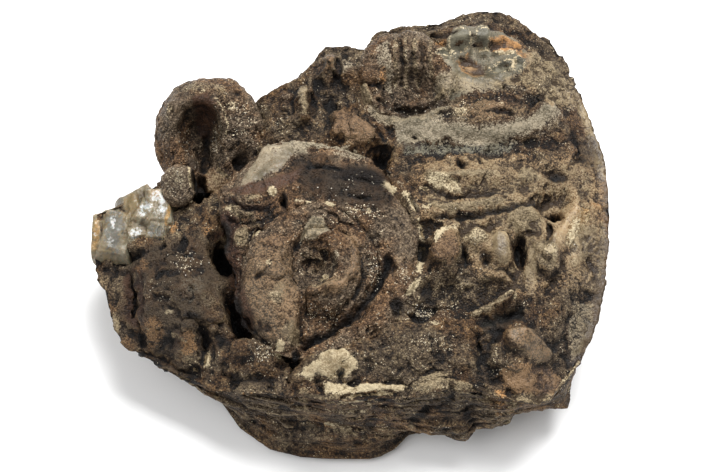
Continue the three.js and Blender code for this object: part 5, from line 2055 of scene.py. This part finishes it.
@dataclass(frozen=True)
class QuartzPatch:
    """A vein of milky quartz, broken off in flat slabs, on the left corner of the face."""

    slabs: tuple[Slab, ...] = (
        Slab(-50, -2.6, 1.5, 3.4, 8, 19, 0.2, 0.05),
        Slab(-43.4, 0.2, 7.2, 4.2, 18, 19.7, 0.12, 0.08),
        Slab(-46, -2.2, 2.7, 4.6, -8, 20.2, 0.1, 0.06),
        Slab(-47, -5.2, 1.9, 1.6, -20, 19.2, 0.1, 0.2),
        Slab(-43, 2.8, 1.8, 3, 16, 20.9, 0.2, 0.1),
        Slab(-40.2, 1.8, 1.8, 2.9, -18, 21.7, 0.15, -0.1),
        Slab(-37.8, 2.6, 2.2, 3.6, 8, 21.8, -0.1, 0.12),
        Slab(-38.2, -2.6, 2, 1.8, -6, 21, 0, 0.2),
        Slab(-41.8, -2.8, 1.9, 1.2, 12, 20.8, 0, 0.15),
        Slab(-41.6, 5.6, 2.4, 1.2, 34, 21, 0.05, 0.1),
        Slab(-40.2, -0.6, 3, 2, 0, 20.8, 0, 0.05),
        Slab(-44.2, -3.4, 1.6, 1.8, 20, 20, 0.1, 0.1),
    )
    middle: tuple[float, float] = (-41.8, -1.4)
    edge_level: float = 16.5  # the patch reaches out to where its surface falls to this height
    root_level: float = 12.5
    root_taper: float = 0.12  # how much narrower its root is
    widest: float = 12.0
    drum: Drum = Drum(90, 12)
    triangles: int = 40_000
    break_size: float = 1.8  # width of the flat chips on its surface
    break_step: float = 0.3  # how far they differ in height
    ragged: tuple[float, float] = (3.0, 0.6)  # size and height of the unevenness of its slabs
    warp: tuple[float, float] = (1.5, 0.5)  # how its chips are bent
    swells: tuple[float, float] = (2.5, 0.22)

    RAYS, STEPS = 180, 80  # how finely its edge is looked for
    GRAIN = (1.0, 0.7, 0.3)  # makes the chips longer along the vein and downwards

    def height(self, x: Array, y: Array) -> Array:
        """Measures its surface.

        Args:
            x, y: places in plan.

        Returns:
            Height of the highest slab above each place.
        """
        size, height = self.ragged
        ragged = height * fractal(np.stack([x, y, 0.0 * x], axis=1), size, 3, 850)
        return np.max([slab.height(x, y) for slab in self.slabs], axis=0) + ragged

    def reach(self, angle: Array) -> Array:
        """Looks for its edge.

        Args:
            angle: angles about its middle in radians.

        Returns:
            How far it reaches from its middle at each.
        """
        rays = FULL_TURN * np.arange(self.RAYS) / self.RAYS
        steps = np.linspace(0.0, self.widest, self.STEPS)
        away, ray = np.meshgrid(steps, rays)
        x, y = self.spread(ray, away)
        inside = self.height(x.ravel(), y.ravel()).reshape(x.shape) > self.edge_level
        edge = (inside * steps).max(axis=1)
        return np.interp(np.mod(angle, FULL_TURN), np.append(rays, FULL_TURN), np.append(edge, edge[0]))

    def spread(self, angle: Array, radius: Array) -> tuple[Array, Array]:
        """Places of the plan at these angles and distances from the middle."""
        return self.middle[0] + radius * np.cos(angle), self.middle[1] + radius * np.sin(angle)

    def top_point(self, angle: Array, share: Array) -> Array:
        """Places the points of its upper side."""
        x, y = self.spread(angle, share * self.reach(angle))
        return np.stack([x, y, self.height(x, y)], axis=1)

    def side_point(self, angle: Array, share: Array) -> Array:
        """Places the points of its sides, as in `Place`."""
        reach = self.reach(angle)
        top = self.height(*self.spread(angle, reach))
        x, y = self.spread(angle, reach * (1.0 - self.root_taper * share))
        return np.stack([x, y, mix(top, self.root_level, share)], axis=1)

    def bottom_point(self, angle: Array, share: Array) -> Array:
        """Places the points of its flat root."""
        x, y = self.spread(angle, (1.0 - self.root_taper) * share * self.reach(angle))
        return np.stack([x, y, np.full(len(x), self.root_level)], axis=1)

    def build(self, finish: Material) -> Object:
        """Makes the patch.

        Args:
            finish: its material.

        Returns:
            The finished object.
        """
        made = self.drum.shaped(self.top_point, self.side_point, self.bottom_point)
        upwards = ease(*UPRIGHT, made.normals()[:, 2])
        warped = made.points + self.warp[1] * rough(made.points, self.warp[0], 820)[:, None]
        _, step = cells(warped * self.GRAIN, self.break_size, 800)
        made.points[:, 2] += self.break_step * (step - 0.5) * upwards
        made.push(self.swells[1] * fractal(made.points, self.swells[0], 3, 810))
        surface = made.thinned(self.triangles)
        return dressed("quartz_patch", surface, QUARTZ_MARKS, finish, "quartz_crystals")


@dataclass(frozen=True)
class ShellPiece:
    """A thick, ragged piece of pale shell that lies across the right of the face."""

    start: tuple[float, float, float] = (36.8, -12.5, 22)
    end: tuple[float, float, float] = (44, 0.5, 23.4)
    width: float = 4.6
    rise: float = 2.6
    root: float = 1.8
    root_taper: float = 0.15  # how much narrower its underside is
    edge_share: float = 0.4  # height of its edge, as a share of its rise
    edge_from: float = 0.75  # share of its half width at which it starts to bend down
    squareness: float = 4.0  # how full its corners are
    drum: Drum = Drum(80, 10)
    triangles: int = 24_000
    fibres: tuple[float, float] = (0.9, 0.3)  # size and height of its lengthwise fibres
    fibre_length: float = 0.85  # how far they are drawn out
    swells: tuple[float, float] = (2.4, 0.5)
    wear: float = 0.15  # how far its whole surface is worn down

    def axes(self) -> tuple[Array, Array, Array, float]:
        """Its own directions.

        Returns:
            Unit vectors along it, across it and out of its face, and its length.
        """
        whole_way = np.array(self.end) - np.array(self.start)
        length = np.linalg.norm(whole_way)
        along = whole_way / length
        across = np.cross([0.0, 0.0, 1.0], along)
        across /= np.linalg.norm(across)
        return along, across, np.cross(along, across), length

    def placed(self, angle: Array, share: Array, level: Array) -> Array:
        """Places points of the net.

        Args:
            angle: their angles about the piece's middle.
            share: their shares of the way out to its edge.
            level: their heights above its axis.

        Returns:
            The points in the block's frame.
        """
        along, across, over, length = self.axes()
        power = self.squareness
        full = (np.abs(np.cos(angle)) ** power + np.abs(np.sin(angle)) ** power) ** (-1.0 / power)
        forth = share * full * np.cos(angle) * length / 2.0
        aside = share * full * np.sin(angle) * self.width / 2.0
        middle = (np.array(self.start) + np.array(self.end)) / 2.0
        return middle + forth[:, None] * along + aside[:, None] * across + level[:, None] * over

    def top_point(self, angle: Array, share: Array) -> Array:
        """Places the points of its upper side, as in `Place`."""
        arch = np.sqrt(np.maximum(1.0 - (share * np.sin(angle)) ** 2, 0.0))
        fall = 1.0 - ease(self.edge_from, 1.0, share) * (1.0 - self.edge_share)
        return self.placed(angle, share, self.rise * arch * fall)

    def side_point(self, angle: Array, share: Array) -> Array:
        """Places the points of its sides."""
        level = self.rise * self.edge_share * np.sqrt(np.maximum(1.0 - np.sin(angle) ** 2, 0.0))
        return self.placed(angle, 1.0 - self.root_taper * share, mix(level, -self.root, share))

    def bottom_point(self, angle: Array, share: Array) -> Array:
        """Places the points of its flat underside."""
        return self.placed(angle, (1.0 - self.root_taper) * share, np.full(len(angle), -self.root))

    def build(self, finish: Material) -> Object:
        """Makes the piece of shell.

        Args:
            finish: its material.

        Returns:
            The finished object.
        """
        made = self.drum.shaped(self.top_point, self.side_point, self.bottom_point)
        along = self.axes()[0]
        squeezed = made.points - self.fibre_length * (made.points @ along)[:, None] * along
        fibres = self.fibres[1] * fractal(squeezed, self.fibres[0], 2, 830)
        made.push(fibres + self.swells[1] * fractal(made.points, self.swells[0], 3, 840) - self.wear)
        surface = made.thinned(self.triangles)
        return dressed("broken_shell", surface, SHELL_MARKS, finish, "shell_piece")


@dataclass(frozen=True)
class Druse:
    """Tiny quartz crystals, strewn over the face where it glitters."""

    crowding: float = 1.0  # crystals on a square millimetre where they are thickest
    smallest: float = 0.09  # half width of a crystal
    largest: float = 0.2
    seed: int = 7

    CORNERS, RINGS = 5, 2
    GATHERING = 2.0  # above 1 they crowd together where they are thick

    def tree(self) -> NodeTree:
        """Makes the rule that strews crystals over a surface.

        Returns:
            A tree of geometry nodes, whose inputs have the names that `build` sets.
        """
        made = bpy.data.node_groups.new("druse", "GeometryNodeTree")
        sockets = {"Geometry": "Geometry", "Crowding": "Float", "Smallest": "Float", "Largest": "Float"}
        for name, kind in {**sockets, "Seed": "Int", "Finish": "Material"}.items():
            made.interface.new_socket(name, in_out="INPUT", socket_type="NodeSocket" + kind)
        made.interface.new_socket("Geometry", in_out="OUTPUT", socket_type="NodeSocketGeometry")
        given = add(made, "NodeGroupInput").outputs
        seed = {"Seed": given["Seed"]}
        glint = add(made, "GeometryNodeInputNamedAttribute", {"Name": Stain.GLINT.value}, data_type="FLOAT")
        powers = {0: glint.outputs["Attribute"], 1: self.GATHERING}
        thick = add(made, "ShaderNodeMath", powers, operation="POWER")
        crowd = add(made, "ShaderNodeMath", {0: thick.outputs[0], 1: given["Crowding"]}, operation="MULTIPLY")
        ground = {"Mesh": given["Geometry"], "Density": crowd.outputs[0], **seed}
        points = add(made, "GeometryNodeDistributePointsOnFaces", ground)
        ball = {"Segments": self.CORNERS, "Rings": self.RINGS, "Radius": 1.0}
        crystal = add(made, "GeometryNodeMeshUVSphere", ball)
        turns = {"Max": (FULL_TURN, FULL_TURN, FULL_TURN), **seed}
        spin = add(made, "FunctionNodeRandomValue", turns, data_type="FLOAT_VECTOR")
        sizes = {2: given["Smallest"], 3: given["Largest"], **seed}
        size = add(made, "FunctionNodeRandomValue", sizes, data_type="FLOAT")
        each = {
            "Points": points.outputs["Points"],
            "Instance": crystal.outputs["Mesh"],
            "Rotation": spin.outputs["Value"],
            "Scale": size.outputs[1],
        }
        strewn = add(made, "GeometryNodeInstanceOnPoints", each)
        real = add(made, "GeometryNodeRealizeInstances", {"Geometry": strewn.outputs["Instances"]})
        coloured = {"Geometry": real.outputs["Geometry"], "Material": given["Finish"]}
        finished = add(made, "GeometryNodeSetMaterial", coloured)
        add(made, "NodeGroupOutput", {"Geometry": finished.outputs["Geometry"]})
        return made

    def build(
        self, ground: Object, name: str, tree: NodeTree, finish: Material
    ) -> None:
        """Strews crystals over a piece, as a piece of their own.

        Args:
            ground: the piece that they grow on.
            name: the new piece's name.
            tree: the rule that strews them.
            finish: their material.
        """
        carrier = shown(name, ground.data)
        modifier = carrier.modifiers.new("druse", "NODES")
        modifier.node_group = tree
        values = {
            "Crowding": self.crowding / MM**2,
            "Smallest": self.smallest * MM,
            "Largest": self.largest * MM,
            "Seed": self.seed,
            "Finish": finish,
        }
        for item in tree.interface.items_tree:
            if item.in_out == "INPUT" and item.name in values:
                modifier[item.identifier] = values[item.name]
        mesh = evaluated_mesh(carrier)
        bpy.data.objects.remove(carrier)
        settled(shown(name, mesh))


# ---- studio ----


@dataclass(frozen=True)
class Lamp:
    """A square soft light."""

    name: str
    place: tuple[float, float, float]
    size: float
    power: float


@dataclass(frozen=True)
class Studio:
    """A plain white floor, soft light from above and behind, and the camera that looks down on the block."""

    target: tuple[float, float, float] = (0.0, 0.0, 0.014)
    elevation: float = 60.0
    distance: float = 0.461
    lens: float = 120.0
    sensor: float = 36.0
    floor_size: float = 3.0
    floor_grey: float = 0.92
    floor_roughness: float = 0.9
    backdrop: float = 0.55  # how brightly the surroundings shine
    lamps: tuple[Lamp, ...] = (
        Lamp("key", (0.2, 0.38, 0.9), 0.55, 17.2),
        Lamp("fill", (-0.5, -0.3, 0.8), 0.6, 3.4),
    )

    def floor(self) -> None:
        """Lays a matt, pale floor."""
        mesh = bpy.data.meshes.new("floor")
        half = self.floor_size / 2.0
        corners = [(-half, -half, 0), (half, -half, 0), (half, half, 0), (-half, half, 0)]
        mesh.from_pydata(corners, [], [(0, 1, 2, 3)])
        made = bpy.data.materials.new("matt_white_paper")
        made.use_nodes = True
        shader = made.node_tree.nodes["Principled BSDF"]
        shader.inputs["Base Color"].default_value = (self.floor_grey, self.floor_grey, self.floor_grey, 1.0)
        shader.inputs["Roughness"].default_value = self.floor_roughness
        mesh.materials.append(made)
        shown("floor", mesh)

    def light(self, lamp: Lamp) -> None:
        """Hangs a lamp that faces the block.

        Args:
            lamp: its place, size and power.
        """
        data = bpy.data.lights.new(lamp.name, "AREA")
        data.size, data.energy = lamp.size, lamp.power
        made = shown(lamp.name, data)
        made.location = lamp.place
        made.rotation_euler = (Vector(self.target) - made.location).to_track_quat("-Z", "Y").to_euler()

    def camera(self) -> None:
        """Sets up the camera, at the elevation from which the block is seen."""
        rise = math.radians(self.elevation)
        back = Vector((0.0, -math.cos(rise), math.sin(rise)))
        data = bpy.data.cameras.new("camera")
        data.lens, data.sensor_width = self.lens, self.sensor
        camera = shown("camera", data)
        camera.location = Vector(self.target) + self.distance * back
        camera.rotation_euler = (-back).to_track_quat("-Z", "Y").to_euler()
        bpy.context.scene.camera = camera

    def build(self) -> None:
        """Sets up the floor, the lights, the backdrop's glow and the camera."""
        self.floor()
        for lamp in self.lamps:
            self.light(lamp)
        world = bpy.data.worlds.new("studio")
        bpy.context.scene.world = world
        world.use_nodes = True
        world.node_tree.nodes["Background"].inputs["Color"].default_value = (1.0, 1.0, 1.0, 1.0)
        world.node_tree.nodes["Background"].inputs["Strength"].default_value = self.backdrop
        bpy.context.scene.view_settings.view_transform = "Standard"
        self.camera()


def main() -> None:
    """Builds every piece around the frame and reports each."""
    logging.basicConfig(level=logging.INFO, format="%(name)s %(message)s")
    matrix, shell = Stone.MATRIX.value.material(), Stone.SHELL.value.material()
    grounds = [StoneBlock().build(matrix)]
    for coil in SHELLS:
        grounds.append(coil.build(shell))
    QuartzPatch().build(Stone.QUARTZ.value.material())
    ShellPiece().build(Stone.THICK_SHELL.value.material())
    druse = Druse()
    tree, finish = druse.tree(), DruseFinish().material()
    for ground in grounds:
        druse.build(ground, ground.name + "_druse", tree, finish)
    Studio().build()


if __name__ == "__main__":
    main()
